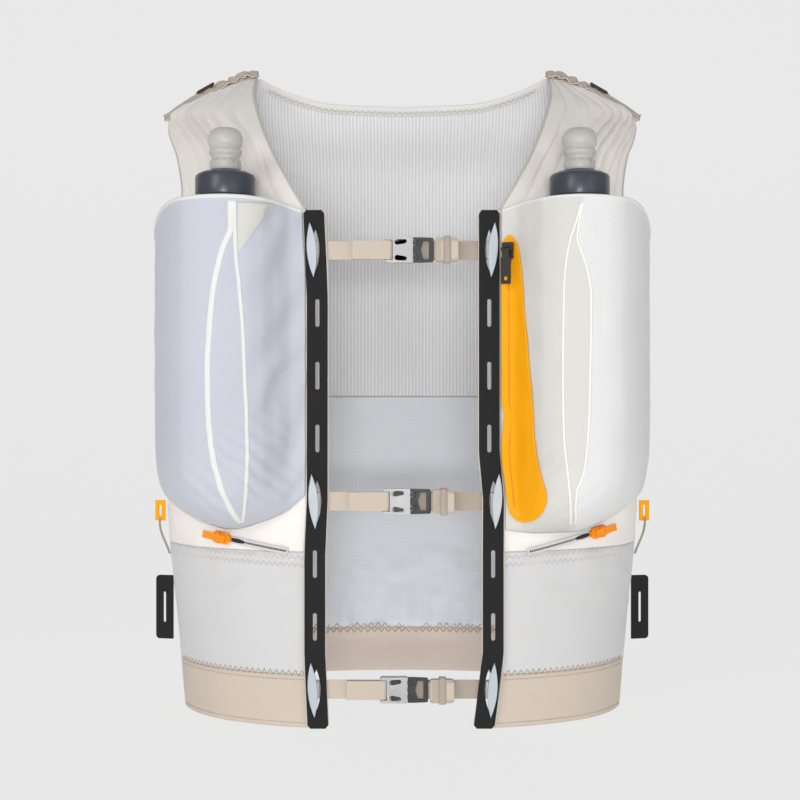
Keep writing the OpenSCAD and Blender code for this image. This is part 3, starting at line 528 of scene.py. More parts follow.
class Cloth:
    """A surface given by a function of two arrays, for strips and stitches that follow it."""

    def __init__(self, point, outward=1):
        self.point = point
        self.outward = outward

    def frame(self, a, b):
        """Points and outward normals."""
        step = 0.4
        p = self.point(a, b)
        da = self.point(a + step, b) - self.point(a - step, b)
        db = self.point(a, b + step) - self.point(a, b - step)
        n = np.cross(da, db)
        n /= np.maximum(np.linalg.norm(n, axis=-1, keepdims=True), 1e-9)
        away = (n[..., :2] * p[..., :2]).sum(-1, keepdims=True) * self.outward
        return p, np.where(away < 0, -n, n)

    def strip(self, name, a, b, width, mat, lift=0.35, thick=0.9, crown=0.35, cols=6):
        """Flat band along the path a(t), b(t) on the surface."""
        a, b = np.asarray(a, float), np.asarray(b, float)
        p, n = self.frame(a, b)
        along = np.gradient(p, axis=0)
        along /= np.linalg.norm(along, axis=1, keepdims=True)
        side_dir = np.cross(along, n)
        width = np.broadcast_to(width, len(p))
        t = np.linspace(-1, 1, cols + 1)
        rows = [
            p + side_dir * (w * width / 2)[:, None] + n * (lift + crown * (1 - w * w)) for w in t
        ]
        return sheet_object(name, np.stack(rows, 1), mat, thick)

    def stitches(self, name, a, b, mat, width=2.4, pitch=2.6, radius=0.28, kind="zigzag"):
        """A row of stitches along the path a(t), b(t) on the surface."""
        a, b = np.asarray(a, float), np.asarray(b, float)
        p, n = self.frame(a, b)
        run = run_length(p)
        count = max(2, int(run[-1] / pitch))
        at = np.linspace(0, run[-1], count + 1)
        q = along_path(at, run, p)
        m = along_path(at, run, n)
        along = np.gradient(q, axis=0)
        along /= np.linalg.norm(along, axis=1, keepdims=True)
        side_dir = np.cross(along, m)
        if kind == "zigzag":
            swing = np.where(np.arange(count + 1) % 2, 0.5, -0.5)[:, None] * width
            q = q + side_dir * swing
            pairs = [(q[i], q[i + 1]) for i in range(count)]
        else:
            pairs = [(q[i], q[i] + 0.72 * (q[i + 1] - q[i])) for i in range(count)]
        return stitch_object(name, pairs, m[:count], mat, radius)

    def sew(self, slot, *row):
        """Stitches, as above, that ride on the vest."""
        return ride_with(self.stitches(*row))


def ride_with(piece, body="vest", replaces=()):
    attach(piece, body)
    if replaces:
        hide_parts(*replaces)
    return piece


def mm_box(node):
    low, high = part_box(node)
    return np.array(low) / MM, np.array(high) / MM


# ---------------------------------------------------------------- fabric panels


def inner_angle(side, z):
    low = rail_x(side, np.minimum(z, RAIL_TOP)) + 5.5
    high = smooth(z, NECK_LINE)
    return front_angle(z, np.where(z <= RAIL_TOP, low, high))


# Where each crease starts, as a share of the front's width, and how deep it is
FRONT_CREASES = [
    (0.13, 1.6), (0.27, 1.1), (0.38, 2.0), (0.47, 3.2), (0.56, 2.6), (0.68, 1.9), (0.80, 1.2), (0.91, 1.5),
]


def front_folds(side, z, x):
    """How far the front's cloth stands off its smooth shape: creases fan down from the shoulder."""
    seed = 3.0 + side
    f0, f1 = inner_angle(side, z), np.radians(smooth(z, ARMHOLE))
    s = (front_angle(z, x) - f0) / (f1 - f0)
    top = 1 / (1 + np.exp(-(z - 400) / 9))
    creases = 0.0
    for k, (at, depth) in enumerate(FRONT_CREASES):
        drift = 0.035 * ripple(z / 45, k + 0 * z, seed + k)
        valley = 1.8 * depth * bell(s, at + drift, 0.02)
        creases = creases - valley + 0.9 * depth * bell(s, at + 0.05 + drift, 0.03)
    shoulder = top * (creases + 0.9 * ripple(x / 10, z / 80, seed + 4))
    lower = (1 - top) * bell(z, 118, 34) * 1.3 * ripple(x / 22, z / 14, seed + 9)
    return shoulder + lower + 0.35 * ripple(x / 30, z / 30, seed + 2)


def front_point(side, s, z):
    f0, f1 = inner_angle(side, z), np.radians(smooth(z, ARMHOLE))
    f = f0 + (f1 - f0) * s
    x = on_body(z, f)[..., 0]
    edge = np.clip(np.minimum(s, 1 - s) / 0.12, 0, 1)
    return on_body(z, f, front_folds(side, z, x) * (0.25 + 0.75 * edge))


def front_grid(side, low, high, rows, cols):
    s = np.linspace(0, 1, cols)[None, :]
    z = np.linspace(low, high, rows)[:, None] + 0 * s
    return mirrored(front_point(side, s + 0 * z, z), side)


def front_cloth(side):
    """The front as a surface of distance from the middle and height."""

    def point(x, z):
        f = front_angle(z, x)
        p = on_body(z, f, front_folds(side, z, x) * 0.6)
        p[..., 0] *= side
        return p

    return Cloth(point)


def make_fronts(mats):
    for side, word in SIDES:
        chest = front_grid(side, HIP_TOP + 0.3, 505.4, 190, 90)
        piece = sheet_object(word + "_chest_cloth", chest, mats["off_white"])
        ride_with(piece, replaces=[word + "_chest_panel"])
        hip = front_grid(side, HEM_TOP + 0.3, HIP_TOP, 60, 80)
        piece = sheet_object(word + "_hip_cloth", hip, mats["hip"])
        ride_with(piece, replaces=[word + "_hip_panel"])
        hem = front_grid(side, 0, HEM_TOP, 24, 70)
        piece = sheet_object(word + "_hem_band", hem, mats["band"])
        ride_with(piece, replaces=[word + "_hem"])


def make_sides(mats):
    for side, word in SIDES:
        f = np.linspace(SIDE_SEAM, BACK_EDGE, 26)[None, :]
        z = np.linspace(0, SIDE_TOP, 110)[:, None] + 0 * f
        off = 0.5 * ripple(f * 9, z / 16, 21.0 + side) + 0.8 * bell(z, 180, 60) * np.sin(f * 30)
        p = mirrored(on_body(z, f + 0 * z, off), side)
        piece = sheet_object(word + "_side_cloth", p, mats["side_mesh"])
        ride_with(piece, replaces=[word + "_side_panel"])


def back_folds(z, x):
    """Gathers where the lower back meets the hem, and soft waves above."""
    low = bell(z, 50, 20) * 4.2 * ripple(x / 7, z / 70, 31.0)
    puff = bell(z, 85, 36) * (3.0 * ripple(x / 20, z / 22, 33.0) - 2.2)
    up = 0.8 * ripple(x / 60, z / 70, 35.0)
    edge = np.clip((z - HEM_TOP) / 6, 0, 1)
    return (low + puff) * edge * np.clip((236 - z) / 40, 0, 1) + up


def back_point(s, z, off):
    x = np.minimum(np.abs(s) * smooth(z, BACK_WIDTH), ring(z)[0] - 0.02)
    p = on_body(z, math.pi - front_angle(z, x), off)
    p[..., 0] *= np.sign(s)
    return p


def make_back(mats):
    f = np.linspace(BACK_EDGE, 2 * math.pi - BACK_EDGE, 220)[None, :]
    z = np.linspace(HEM_TOP + 0.3, LOWER_BACK_TOP, 120)[:, None] + 0 * f
    x = on_body(z, f + 0 * z)[..., 0]
    lower = on_body(z, f + 0 * z, back_folds(z, x))
    piece = sheet_object("lower_back_cloth", lower, mats["lower_back"])
    ride_with(piece, replaces=["lower_back_panel"])

    z = np.linspace(0, HEM_TOP, 22)[:, None] + 0 * f
    x = on_body(z, f + 0 * z)[..., 0]
    hem = on_body(z, f + 0 * z, 0.4 * ripple(x / 16, z / 20, 37.0))
    piece = sheet_object("back_hem_band", hem, mats["back_band"])
    ride_with(piece, replaces=["back_hem"])

    middle = np.linspace(0.6, -0.6, 150)[1:-1]
    s = np.concatenate([np.linspace(1, 0.6, 50), middle, np.linspace(-0.6, -1, 50)])
    s = np.where(np.abs(s) < 1e-3, 1e-3, s)[None, :]
    t = np.linspace(0, 1, 130)[:, None]
    z = LOWER_BACK_TOP + 0.3 + (smooth(np.abs(s) * 190, BACK_TOP) - 0.6 - LOWER_BACK_TOP) * t
    flat = back_point(s + 0 * t, z, 0)
    soft = 0.7 * ripple(flat[..., 0] / 55, z / 60, 41.0)
    upper = back_point(s + 0 * t, z, soft)
    piece = sheet_object("back_cloth", upper, mats["back_mesh"])
    ride_with(piece, replaces=["back_panel"])


def inside_back():
    """The back's inner face, seen from the front, as a surface of x and height."""

    def point(x, z):
        p = on_body(z, math.pi - front_angle(z, x), -CLOTH)
        p[..., 0] = np.sign(x) * np.abs(p[..., 0])
        return p

    return Cloth(point, -1)


def make_neck_binding(mats):
    """Folded tape round the back neckline, with its zigzag."""
    x = np.linspace(-119, 119, 160)
    x = np.where(np.abs(x) < 1e-3, 1e-3, x)
    top = smooth(np.abs(x), BACK_TOP) - 0.6
    rows = []
    section = (
        (7, -1.6), (6.6, -2.1), (3, -2.4), (0.3, -2.1), (-0.5, -1.0), (-0.2, 0.5), (2.4, 1.0), (5.5, 0.8),
    )
    for down, out in section:
        z = top - down
        p = on_body(z, math.pi - front_angle(z, x), out)
        p[..., 0] = np.sign(x) * np.abs(p[..., 0])
        rows.append(p)
    piece = sheet_object("neck_tape", np.stack(rows), mats["binding"], 0.5)
    ride_with(piece, replaces=["neck_binding"])
    inner = inside_back()
    inner_face = Cloth(lambda a, b: inner.point(a, b) + np.stack([0 * a, 0 * a - 1.4, 0 * a], -1), -1)
    inner_face.sew(
        "white_binding", "neck_stitching", x[4:-4], top[4:-4] - 4.6, mats["thread_beige"], 2.6, 2.6, 0.24
    )


# ---------------------------------------------------------------- rails


def make_rails(mats):
    for word in ("left", "right"):
        piece = rounded_copy(word + "_rail_tape", word + "_rail", 0.45, mats["rail"])
        ride_with(piece, replaces=[word + "_rail"])


def rounded_copy(name, node, width, mat, segments=2, sharp=35):
    """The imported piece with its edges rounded, at the same size and place."""
    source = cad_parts[node]
    mesh = source.data.copy()
    obj = bpy.data.objects.new(name, mesh)
    bpy.context.scene.collection.objects.link(obj)
    weld = obj.modifiers.new("weld", "WELD")
    weld.merge_threshold = 0.00001
    flat = obj.modifiers.new("flat", "DECIMATE")
    flat.decimate_type = "DISSOLVE"
    flat.angle_limit = math.radians(1)
    bevel = obj.modifiers.new("bevel", "BEVEL")
    bevel.width = width * MM
    bevel.segments = segments
    bevel.limit_method = "ANGLE"
    bevel.angle_limit = math.radians(sharp)
    bevel.harden_normals = True
    done = bpy.data.meshes.new_from_object(obj.evaluated_get(bpy.context.evaluated_depsgraph_get()))
    obj.modifiers.clear()
    obj.data = done
    done.name = name
    done.materials.clear()
    done.materials.append(mat)
    planar_uv(done)
    return obj


def planar_uv(mesh):
    """Cloth coordinates straight from x and z, for flat upright pieces."""
    for layer in list(mesh.uv_layers):
        mesh.uv_layers.remove(layer)
    layer = mesh.uv_layers.new(name="cloth")
    index = np.empty(len(mesh.loops), int)
    mesh.loops.foreach_get("vertex_index", index)
    co = np.empty(len(mesh.vertices) * 3)
    mesh.vertices.foreach_get("co", co)
    layer.data.foreach_set("uv", co.reshape(-1, 3)[index][:, [0, 2]].ravel())


# ---------------------------------------------------------------- flask pockets

POCKET_SECTION = [
    (70, -115.4), (80, -119), (90, -129), (100, -139), (112, -144.6), (127, -146.5), (142, -144.6),
    (154, -139.5), (164, -129), (173, -112), (182, -82), (189, -52), (193, -26),
]
POCKET_LOW = {
    LEFT: [(70, 168), (84, 156), (100, 149), (127, 142), (150, 146), (193, 165)],
    RIGHT: [(70, 143), (100, 140), (127, 140), (150, 146), (193, 165)],
}
POCKET_TOP = [(70, 374), (90, 379), (127, 381), (160, 380), (180, 374), (193, 364)]
POCKET_FILL = [(0, 0), (5, 0.35), (12, 0.6), (22, 0.8), (34, 0.93), (48, 1)]
FOLLOW_RAIL = [(70, 1), (80, 0.6), (90, 0.2), (100, 0)]
BASE_PULL = [(70, 1), (193, 0.965)]
POCKET_INNER, POCKET_OUTER = 70, 193


def section_out(x):
    """Outward direction of the pocket's cross-section at x."""
    slope = smooth(x + 0.5, POCKET_SECTION) - smooth(x - 0.5, POCKET_SECTION)
    size = np.hypot(slope, 1)
    return slope / size, -1 / size


def pocket_point(side, x, z, off=0.0):
    """Outer face of the pocket, off millimetres further out, on the viewer's side given."""
    low = smooth(x, POCKET_LOW[side])
    fill = smooth(np.clip(z - low, 0, 48), POCKET_FILL)
    base = on_body(z, front_angle(z, x * smooth(x, BASE_PULL)), 1.6 + off)
    nx, ny = section_out(x)
    full_x, full_y = x + nx * off, smooth(x, POCKET_SECTION) + ny * off
    shift = smooth(x, FOLLOW_RAIL) * (rail_x(side, np.minimum(z, RAIL_TOP)) - RAIL_MEAN_X)
    px = base[..., 0] * (1 - fill) + full_x * fill + shift
    py = base[..., 1] * (1 - fill) + full_y * fill
    return np.stack([px * side, py, z + 0 * px], -1)


def pocket_folds(side, x, z):
    """Soft diagonal folds that pull from the flask's foot toward the rail."""
    seed = 51.0 + side
    d = (z - 143) + 1.25 * (x - 100)
    near_rail = bell(x, 84, 26)
    pull = np.sin(2 * math.pi * d / 46 + 2.2 * ripple(x / 40, z / 55, seed))
    low = bell(z, 170, 45)
    foot = np.sin(2 * math.pi * ((z - 143) - 0.8 * (x - 110)) / 13 + 2 * ripple(x / 20, z / 40, seed + 1))
    waves = 1.2 * near_rail * pull + 0.7 * low * foot * bell(x, 118, 34)
    waves = waves * (0.35 if side == RIGHT else 1.0)
    return waves + 0.55 * ripple(x / 26, z / 34, seed + 2)


def fade(z, low, top):
    """The folds die out at the pocket's foot and nearly so at its rim."""
    return np.clip((z - low) / 14, 0, 1) * np.clip((top - z) / 10, 0.15, 1)


def pocket_face(side, x0, x1, rows, cols, off=0.0, low_add=0.0, top_add=0.0, folds=1.0):
    x = np.linspace(x0, x1, cols)[None, :]
    t = np.linspace(0, 1, rows)[:, None]
    low = smooth(x, POCKET_LOW[side]) + low_add
    top = smooth(x, POCKET_TOP) + top_add
    z = low + (top - low) * t
    xx = x + 0 * z
    soft = pocket_folds(side, xx, z) * folds * fade(z, low, top)
    p = pocket_point(side, xx, z, off + soft)
    return p[:, ::-1] if side == LEFT else p


def pocket_cloth(side, folds=1.0):
    def point(x, z):
        low, top = smooth(x, POCKET_LOW[side]), smooth(x, POCKET_TOP)
        soft = pocket_folds(side, x, z) * folds * fade(z, low, top)
        return pocket_point(side, x, z, soft)

    return Cloth(point)


def tape_on(cloth, side, name, path, width, mat, lift=0.2, thick=0.7, crown=0.35, steps=160):
    """Narrow tape through (x, z) points, evened out along its length."""
    path = np.asarray(path, float)
    run = run_length(path)
    at = np.linspace(0, run[-1], steps)
    x = smooth(at, list(zip(run, path[:, 0])))
    z = smooth(at, list(zip(run, path[:, 1])))
    if side == LEFT:
        x, z = x[::-1], z[::-1]
    return cloth.strip(name, x, z, width, mat, lift, thick, crown)


LEFT_LEAF_OUTER = [
    (120.3, 377), (120.1, 359.5), (126.4, 342), (132.7, 314), (135.5, 286), (136.9, 258), (136.2, 230),
    (134.1, 205.5), (129.2, 181), (123.6, 163.5), (117, 148),
]
LEFT_LEAF_INNER = [
    (117.8, 377), (117.3, 356), (116.6, 338.5), (114.5, 317.5), (112.4, 293), (111, 265), (109.6, 230),
    (108.9, 202), (109.6, 181), (111.7, 163.5), (115.6, 148),
]
RIGHT_PIPE_INNER = [
    (125, 375), (121.5, 361.6), (117.3, 349), (114.5, 333.6), (113.1, 314), (112.4, 251),
    (113.1, 211.8), (115.9, 184.5), (118, 168.4), (121, 147),
]
RIGHT_PIPE_OUTER = [
    (126.4, 376), (123.5, 361), (122.2, 350.5), (125.7, 340), (129.2, 328.7), (132, 310.5),
    (131.3, 251), (129.9, 211.8), (126.4, 184.5), (122.4, 171.9), (122.4, 163.5), (125, 146.5),
]


def rim_tape(side, name, mat, width=3.4):
    x = np.linspace(POCKET_INNER + 0.5, POCKET_OUTER - 0.5, 120)
    z = smooth(x, POCKET_TOP) - width / 2
    if side == LEFT:
        x, z = x[::-1], z[::-1]
    half = width / 2
    section = ((half, -1.7), (half, 0.5), (0, 0.8), (-half, 0.7), (-half - 0.5, -0.4), (-half, -1.9))
    rows = [pocket_point(side, x, z - down, 0 * x + off) for down, off in section]
    piece = sheet_object(name, np.stack(rows, 0), mat, 0.4)
    return ride_with(piece)


def make_left_pocket(mats):
    p = pocket_face(LEFT, POCKET_INNER, POCKET_OUTER, 170, 170)
    piece = sheet_object("left_pocket_cloth", p, mats["lavender"])
    ride_with(piece, replaces=["left_flask_pocket"])
    rim_tape(LEFT, "left_pocket_rim", mats["rim"], 2.4)
    cloth = pocket_cloth(LEFT)
    for name, path, width in (
        ("left_pocket_outer_binding", LEFT_LEAF_OUTER, 4.4),
        ("left_pocket_inner_binding", LEFT_LEAF_INNER, 2.8),
    ):
        piece = tape_on(cloth, LEFT, name, path, width, mats["binding"])
        ride_with(piece)
    t = np.linspace(0, 1, 40)[:, None]
    z = 341 + (375.5 - 341) * t
    xa = np.full_like(z, 115.5)
    xb = smooth(z, [(341, 114.5), (350, 108), (360, 101.5), (368, 96), (375.5, 90)])
    w = np.linspace(0, 1, 24)[None, :]
    xx = xa + (xb - xa) * w
    q, n = cloth.frame(xx, z + 0 * xx)
    tri = q + n * (0.5 + 0.4 * np.sin(w * math.pi) * t)[..., None]
    piece = sheet_object("left_pocket_corner", tri, mats["off_white_b"], 0.7)
    ride_with(piece)
    across = np.linspace(POCKET_INNER + 3, POCKET_OUTER - 3, 60)
    low = np.array([(x, smooth(x, POCKET_LOW[LEFT]) + 2.6) for x in across])
    cloth.sew(
        "white_binding", "left_pocket_foot_stitching", low[::-1, 0], low[::-1, 1],
        mats["thread_white"], 2, 2.6, 0.26, "line",
    )


def make_right_pocket(mats):
    """Warm white inner panel, cream gusset and grid-mesh outer panel, one cloth each."""
    parts = (("inner", "off_white_b"), ("gusset", "cream"), ("outer", "grid_mesh"))
    inner = np.array(RIGHT_PIPE_INNER)
    outer = np.array(RIGHT_PIPE_OUTER)
    seams = (
        lambda z: np.full_like(z, POCKET_INNER),
        lambda z: smooth(z, sorted((b, a) for a, b in inner)),
        lambda z: smooth(z, sorted((b, a) for a, b in outer)),
        lambda z: np.full_like(z, POCKET_OUTER),
    )
    for k, (word, mat) in enumerate(parts):
        rows, cols = 150, (90, 30, 110)[k]
        t = np.linspace(0, 1, rows)[:, None]
        w = np.linspace(0, 1, cols)[None, :]
        zref = 141 + (379 - 141) * t
        xa, xb = seams[k](zref), seams[k + 1](zref)
        xx = xa + (xb - xa) * w
        low, top = smooth(xx, POCKET_LOW[RIGHT]), smooth(xx, POCKET_TOP)
        z = low + (top - low) * t
        soft = pocket_folds(RIGHT, xx, z) * fade(z, low, top)
        p = pocket_point(RIGHT, xx, z, soft)
        piece = sheet_object("right_pocket_" + word, p, mats[mat])
        ride_with(piece, replaces=["right_flask_pocket"])
    rim_tape(RIGHT, "right_pocket_rim", mats["rim"], 1.7)
    cloth = pocket_cloth(RIGHT)
    for name, path in (("right_pocket_inner_piping", inner), ("right_pocket_outer_piping", outer)):
        piece = tape_on(cloth, RIGHT, name, path[::-1], 1.8, mats["piping"], 0.3, 0.6, 0.5)
        ride_with(piece)


# ---------------------------------------------------------------- orange panel and its zip

ZIP_PANEL_LEFT = [
    (149.4, 85.5), (150.5, 80), (153, 75.8), (158, 72.6), (166, 71.2), (180, 70.8), (200, 70.4),
    (215, 71.2), (226, 72.2), (236, 70.6), (270, 70.2), (343, 70.1), (348, 70.8), (352.5, 72.4),
    (354.8, 74.5), (355.6, 76.4),
]
ZIP_PANEL_RIGHT = [
    (149.4, 86.5), (150.5, 91.5), (153, 96), (158, 100), (166, 102.3), (174, 101.2), (180, 99.2),
    (197, 95.5), (237, 92.5), (295, 88), (340, 84), (348, 82.4), (352.5, 80.4), (354.8, 78.4),
    (355.6, 76.8),
]


def make_zip_panel(mats):
    cloth = pocket_cloth(RIGHT, 0.5)
    t = np.linspace(0, 1, 160)[:, None]
    z = 149.4 + (355.6 - 149.4) * (1 - np.cos(t * math.pi)) / 2
    w = np.linspace(0, 1, 30)[None, :]
    xa, xb = smooth(z, ZIP_PANEL_LEFT), smooth(z, ZIP_PANEL_RIGHT)
    x = xa + (xb - xa) * w
    puff = 0.25 * ripple(x / 12, z / 28, 61.0) + 0.3 * bell(z, 222, 10) * bell(x, 74, 6)
    q, n = cloth.frame(x.ravel(), (z + 0 * x).ravel())
    p = (q + n * (1.55 + puff.ravel()[:, None])).reshape(*x.shape, 3)
    piece = sheet_object("orange_panel", p, mats["orange_film"], 0.8)
    ride_with(piece, replaces=["zip_panel"])
    edge = np.array([(smooth(v, ZIP_PANEL_RIGHT) - 1.6, v) for v in np.linspace(150, 350, 90)])
    lifted = Cloth(lambda a, b: cloth.point(a, b) + np.array([0.3, -1.6, 0]))
    lifted.sew(
        "orange_film", "orange_panel_stitching", edge[:, 0], edge[:, 1],
        mats["thread_orange"], 2, 2.4, 0.22, "line",
    )
    coil = np.array([(smooth(v, ZIP_PANEL_LEFT) + 5.2, v) for v in np.linspace(160, 350, 110)])
    lifted = Cloth(lambda a, b: cloth.point(a, b) + np.array([0.2, -1.5, 0]))
    lifted.sew(
        "orange_film", "chest_zip_teeth", coil[:, 0], coil[:, 1],
        mats["thread_orange_dark"], 1.7, 0.95, 0.34,
    )
    for name, xa, za, xb, zb in (
        ("upper_bartack", 71.5, 347, 79, 350),
        ("lower_bartack", 79.5, 155.3, 92.5, 155.8),
    ):
        t = np.linspace(0, 1, 12)
        lifted.sew(
            "white_binding", "right_pocket_" + name, xa + (xb - xa) * t, za + (zb - za) * t,
            mats["thread_white"], 2.4, 0.55, 0.3,
        )


# ---------------------------------------------------------------- seams, hems and hip zips


def seam_path(side, low, high, x0, x1, count=110):
    """Evenly spaced (x, z) across a front, left to right as seen."""
    x = np.linspace(x0, x1, count)
    z = low + (high - low) * (x - x0) / (x1 - x0)
    return (x[::-1], z[::-1]) if side == LEFT else (x, z)


def make_hem_trim(mats):
    for side, word in SIDES:
        cloth = front_cloth(side)
        hem_rows = ((HEM_TOP + 1.2, 4.4, "zigzag"), (HEM_TOP - 3.4, 1.6, "line"), (3.2, 1.6, "line"))
        for k, (z, width, kind) in enumerate(hem_rows):
            x, zz = seam_path(side, z, z, rail_x(side, z) + 7.5, 168)
            cloth.sew(
                "beige_webbing", word + "_hem_stitching_" + str(k), x, zz,
                mats["thread_beige"], width, 2.4, 0.34, kind,
            )
        x, zz = seam_path(side, HIP_TOP - 4, HIP_TOP - 1, rail_x(side, 125) + 8, 166)
        for k, down in enumerate((0, 5.5)):
            cloth.sew(
                "white_binding", word + "_hip_seam_" + str(k), x, zz - down,
                mats["thread_white"], 3.4, 2.2, 0.34,
            )
    inner = inside_back()
    face = Cloth(lambda a, b: inner.point(a, b) - np.array([0, 0.5, 0]), -1)
    x = np.linspace(-120, 120, 220)
    for k, z in enumerate((HEM_TOP + 1.5, HEM_TOP - 2.5)):
        face.sew(
            "beige_webbing", "back_hem_stitching_" + str(k), x, z + 0 * x,
            mats["thread_beige"], 4.6, 3.0, 0.4,
        )


HIP_ZIP_R = 166
HIP_ZIPS = {LEFT: ((110, -101.6, 132), 22, 9, 10), RIGHT: ((122, -97.4, 134), 27, 12, 12)}


def hip_place(side, angle, height, out):
    mid, heading, rise, _ = HIP_ZIPS[side]
    a, h, r = np.radians(angle), math.radians(heading), math.radians(-rise)
    x = (HIP_ZIP_R + out) * np.sin(a)
    y = HIP_ZIP_R - (HIP_ZIP_R + out) * np.cos(a)
    z = height + 0 * x
    x, z = x * math.cos(r) + z * math.sin(r), -x * math.sin(r) + z * math.cos(r)
    x, y = x * math.cos(h) - y * math.sin(h), x * math.sin(h) + y * math.cos(h)
    return np.stack([side * (x + mid[0]), y + mid[1], z + mid[2]], -1)


def make_hip_zips(mats):
    """Zip tape, closed teeth on the inner stretch, and dark sheets of painted shade: a thin line down the
    closed teeth and the open gap next to the slider.
    """
    for side, word, shut, gap in (
        (LEFT, "left", (-9.6, 1.6), (1.6, 6.8)),
        (RIGHT, "right", (-11.5, 1.5), (1.5, 7)),
    ):
        sweep = HIP_ZIPS[side][3]
        a = np.linspace(-sweep, sweep, 60)[None, :]
        rows = []
        for h, out in ((-2.6, 0.5), (-2.2, 0.8), (-0.9, 0.95), (0.9, 0.95), (2.2, 0.8), (2.6, 0.5)):
            rows.append(hip_place(side, a[0], h, out))
        p = np.stack(rows)
        p = p[:, ::-1] if side == LEFT else p
        tape = sheet_object(word + "_hip_zip_tape", p, mats["hip"], 0.6)
        ride_with(tape, replaces=["hip_zips"])
        for name, span in (("teeth", shut), ("open_teeth", gap)):
            t = np.linspace(span[0], span[1], 40)
            if side == LEFT:
                t = t[::-1]
            if name == "teeth":
                q = hip_place(side, t, 0 * t, 1.0)
                n = hip_place(side, t, 0 * t, 2.0) - q
                stitch_rows(word + "_hip_zip_" + name, q, n, mats["edge_tape"], 1.7, 1.7, 0.34)
            # Dark sheets of painted shade: a thin line along the closed teeth, and a wider one where the zip
            # stands open.
            slit_shade = []
            for h, out in ((-1.0, 1.05), (0.0, 1.15), (1.0, 1.05)):
                w = 1.6 * np.sin(np.linspace(0, 1, 40) * math.pi) ** 0.5 if name == "open_teeth" else 0.75
                slit_shade.append(hip_place(side, t, h * w, out))
            piece = sheet_object(word + "_hip_zip_line_" + name, np.stack(slit_shade), mats["slit_shade"], 0.3)
            ride_with(piece)


def stitch_rows(name, q, n, mat, width, pitch, radius):
    """Rungs across a path of points q with normals n, as on zip teeth."""
    run = run_length(q)
    at = np.arange(0, run[-1], pitch)
    c = along_path(at, run, q)
    m = along_path(at, run, n)
    m /= np.linalg.norm(m, axis=1, keepdims=True)
    along = np.gradient(c, axis=0)
    along /= np.linalg.norm(along, axis=1, keepdims=True)
    side_dir = np.cross(along, m)
    pairs = [(a - s * width / 2, a + s * width / 2) for a, s in zip(c, side_dir)]
    return ride_with(stitch_object(name, pairs, m, mat, radius))


# ---------------------------------------------------------------- moulded and woven hardware

ROWS = ("upper", "middle", "lower")
SLOT_Z = {"upper": 345.1, "middle": 163.9, "lower": 28.0}
MEET_X = {"upper": 7.5, "middle": 5.5, "lower": 3.5}


def copy_piece(node, body, mat, width=0.35, segments=2, sharp=35):
    piece = rounded_copy(node + "_form", node, width, mat, segments, sharp)
    return ride_with(piece, body, [node])


def make_straps(mats):
    for row in ROWS:
        copy_piece(row + "_strap_left", "vest", mats["webbing"], 0.25)
        copy_piece(row + "_buckle_female", "vest", mats["clear_grey"], 0.45, 3)
        plug = row + "_plug"
        copy_piece(row + "_buckle_male", plug, mats["black_plastic"], 0.4, 3)
        for end in ("top", "bottom"):
            prong = row + "_prong_" + end
            copy_piece(prong, prong + "_body", mats["black_plastic"], 0.3)
        make_tail(row, plug, mats)
        copy_piece(row + "_strap_right", "vest", mats["elastic"], 0.25)
        make_strap_stitches(row, mats)


def make_tail(row, plug, mats):
    """Spare webbing folded into a keeper, as several layers with rounded folds."""
    low, high = mm_box(row + "_strap_tail")
    block_low = max(low[0], MEET_X[row] + 16)
    width, depth = high[0] - block_low, high[1] - low[1]
    # The rolled tail block is the beige webbing darkened to 0.8: painted shade between and under the folded
    # layers.
    copy_piece(row + "_strap_tail", plug, mats["webbing_painted_shade"], 1.1, 4)
    layers = 3
    step = (depth - 1.6) / layers
    mid_z = (low[2] + high[2]) / 2
    half = (high[2] - low[2]) / 2 - 1.5
    for k in range(layers):
        y = low[1] + 0.5 + k * step
        x = np.linspace(block_low + 0.4, high[0] + 0.3 - 1.1 * k, 16)
        z = np.linspace(mid_z - half, mid_z + half, 7)[:, None]
        wave = 0.35 * np.sin(x / 3.1 + k) + 0 * z
        p = np.stack([x + 0 * z, y - 0.6 + wave * 0.6, z + 0 * x], -1)
        piece = sheet_object(row + "_tail_layer_" + str(k), p, mats["webbing"], 1.0)
        ride_with(piece, plug)
    keeper_x = block_low + width * 0.52
    path = []
    for a in np.linspace(0, 2 * math.pi, 40, endpoint=False):
        cx = math.copysign(abs(math.sin(a)) ** 0.45, math.sin(a))
        cz = math.copysign(abs(math.cos(a)) ** 0.45, math.cos(a))
        y = (low[1] + high[1]) / 2 + cx * (depth / 2 + 0.5)
        path.append((keeper_x, y, mid_z + cz * ((high[2] - low[2]) / 2 + 0.5)))
    path.append(path[0])
    loop_band(row + "_tail_keeper", np.array(path), 5.2, 0.9, mats["elastic_dark"], plug)


def loop_band(name, path, width, thick, mat, body):
    """Band of the given width (along x) wrapped round a closed path."""
    path = path[:-1]
    centre = path.mean(0)
    out = path - centre
    out[:, 0] = 0
    out /= np.linalg.norm(out, axis=1, keepdims=True)
    n = len(path)
    verts, faces = [], []
    for dx, dr in ((-width / 2, 0), (-width / 2 + 0.3, thick), (width / 2 - 0.3, thick), (width / 2, 0)):
        for p, o in zip(path, out):
            verts.append((p + o * dr + np.array([dx, 0, 0])) * MM)
    for r in range(4):
        s = (r + 1) % 4
        for i in range(n):
            j = (i + 1) % n
            faces.append((r * n + i, s * n + i, s * n + j, r * n + j))
    uvs = [(v[0], v[2]) for v in verts]
    return ride_with(make_object(name, verts, faces, uvs, mat), body)


def make_strap_stitches(row, mats):
    z, meet = SLOT_Z[row], MEET_X[row]
    x0 = meet - 17.8 - 24
    face = Cloth(lambda a, b: np.stack([a, 0 * a - 115.35, b], -1))
    for k, xa in enumerate((x0, x0 + 6)):
        t = np.linspace(-5.4, 5.4, 14)
        face.sew(
            "beige_webbing", row + "_strap_bartack_" + str(k), xa + 0 * t, z + t,
            mats["thread_beige"], 1.7, 0.6, 0.25,
        )


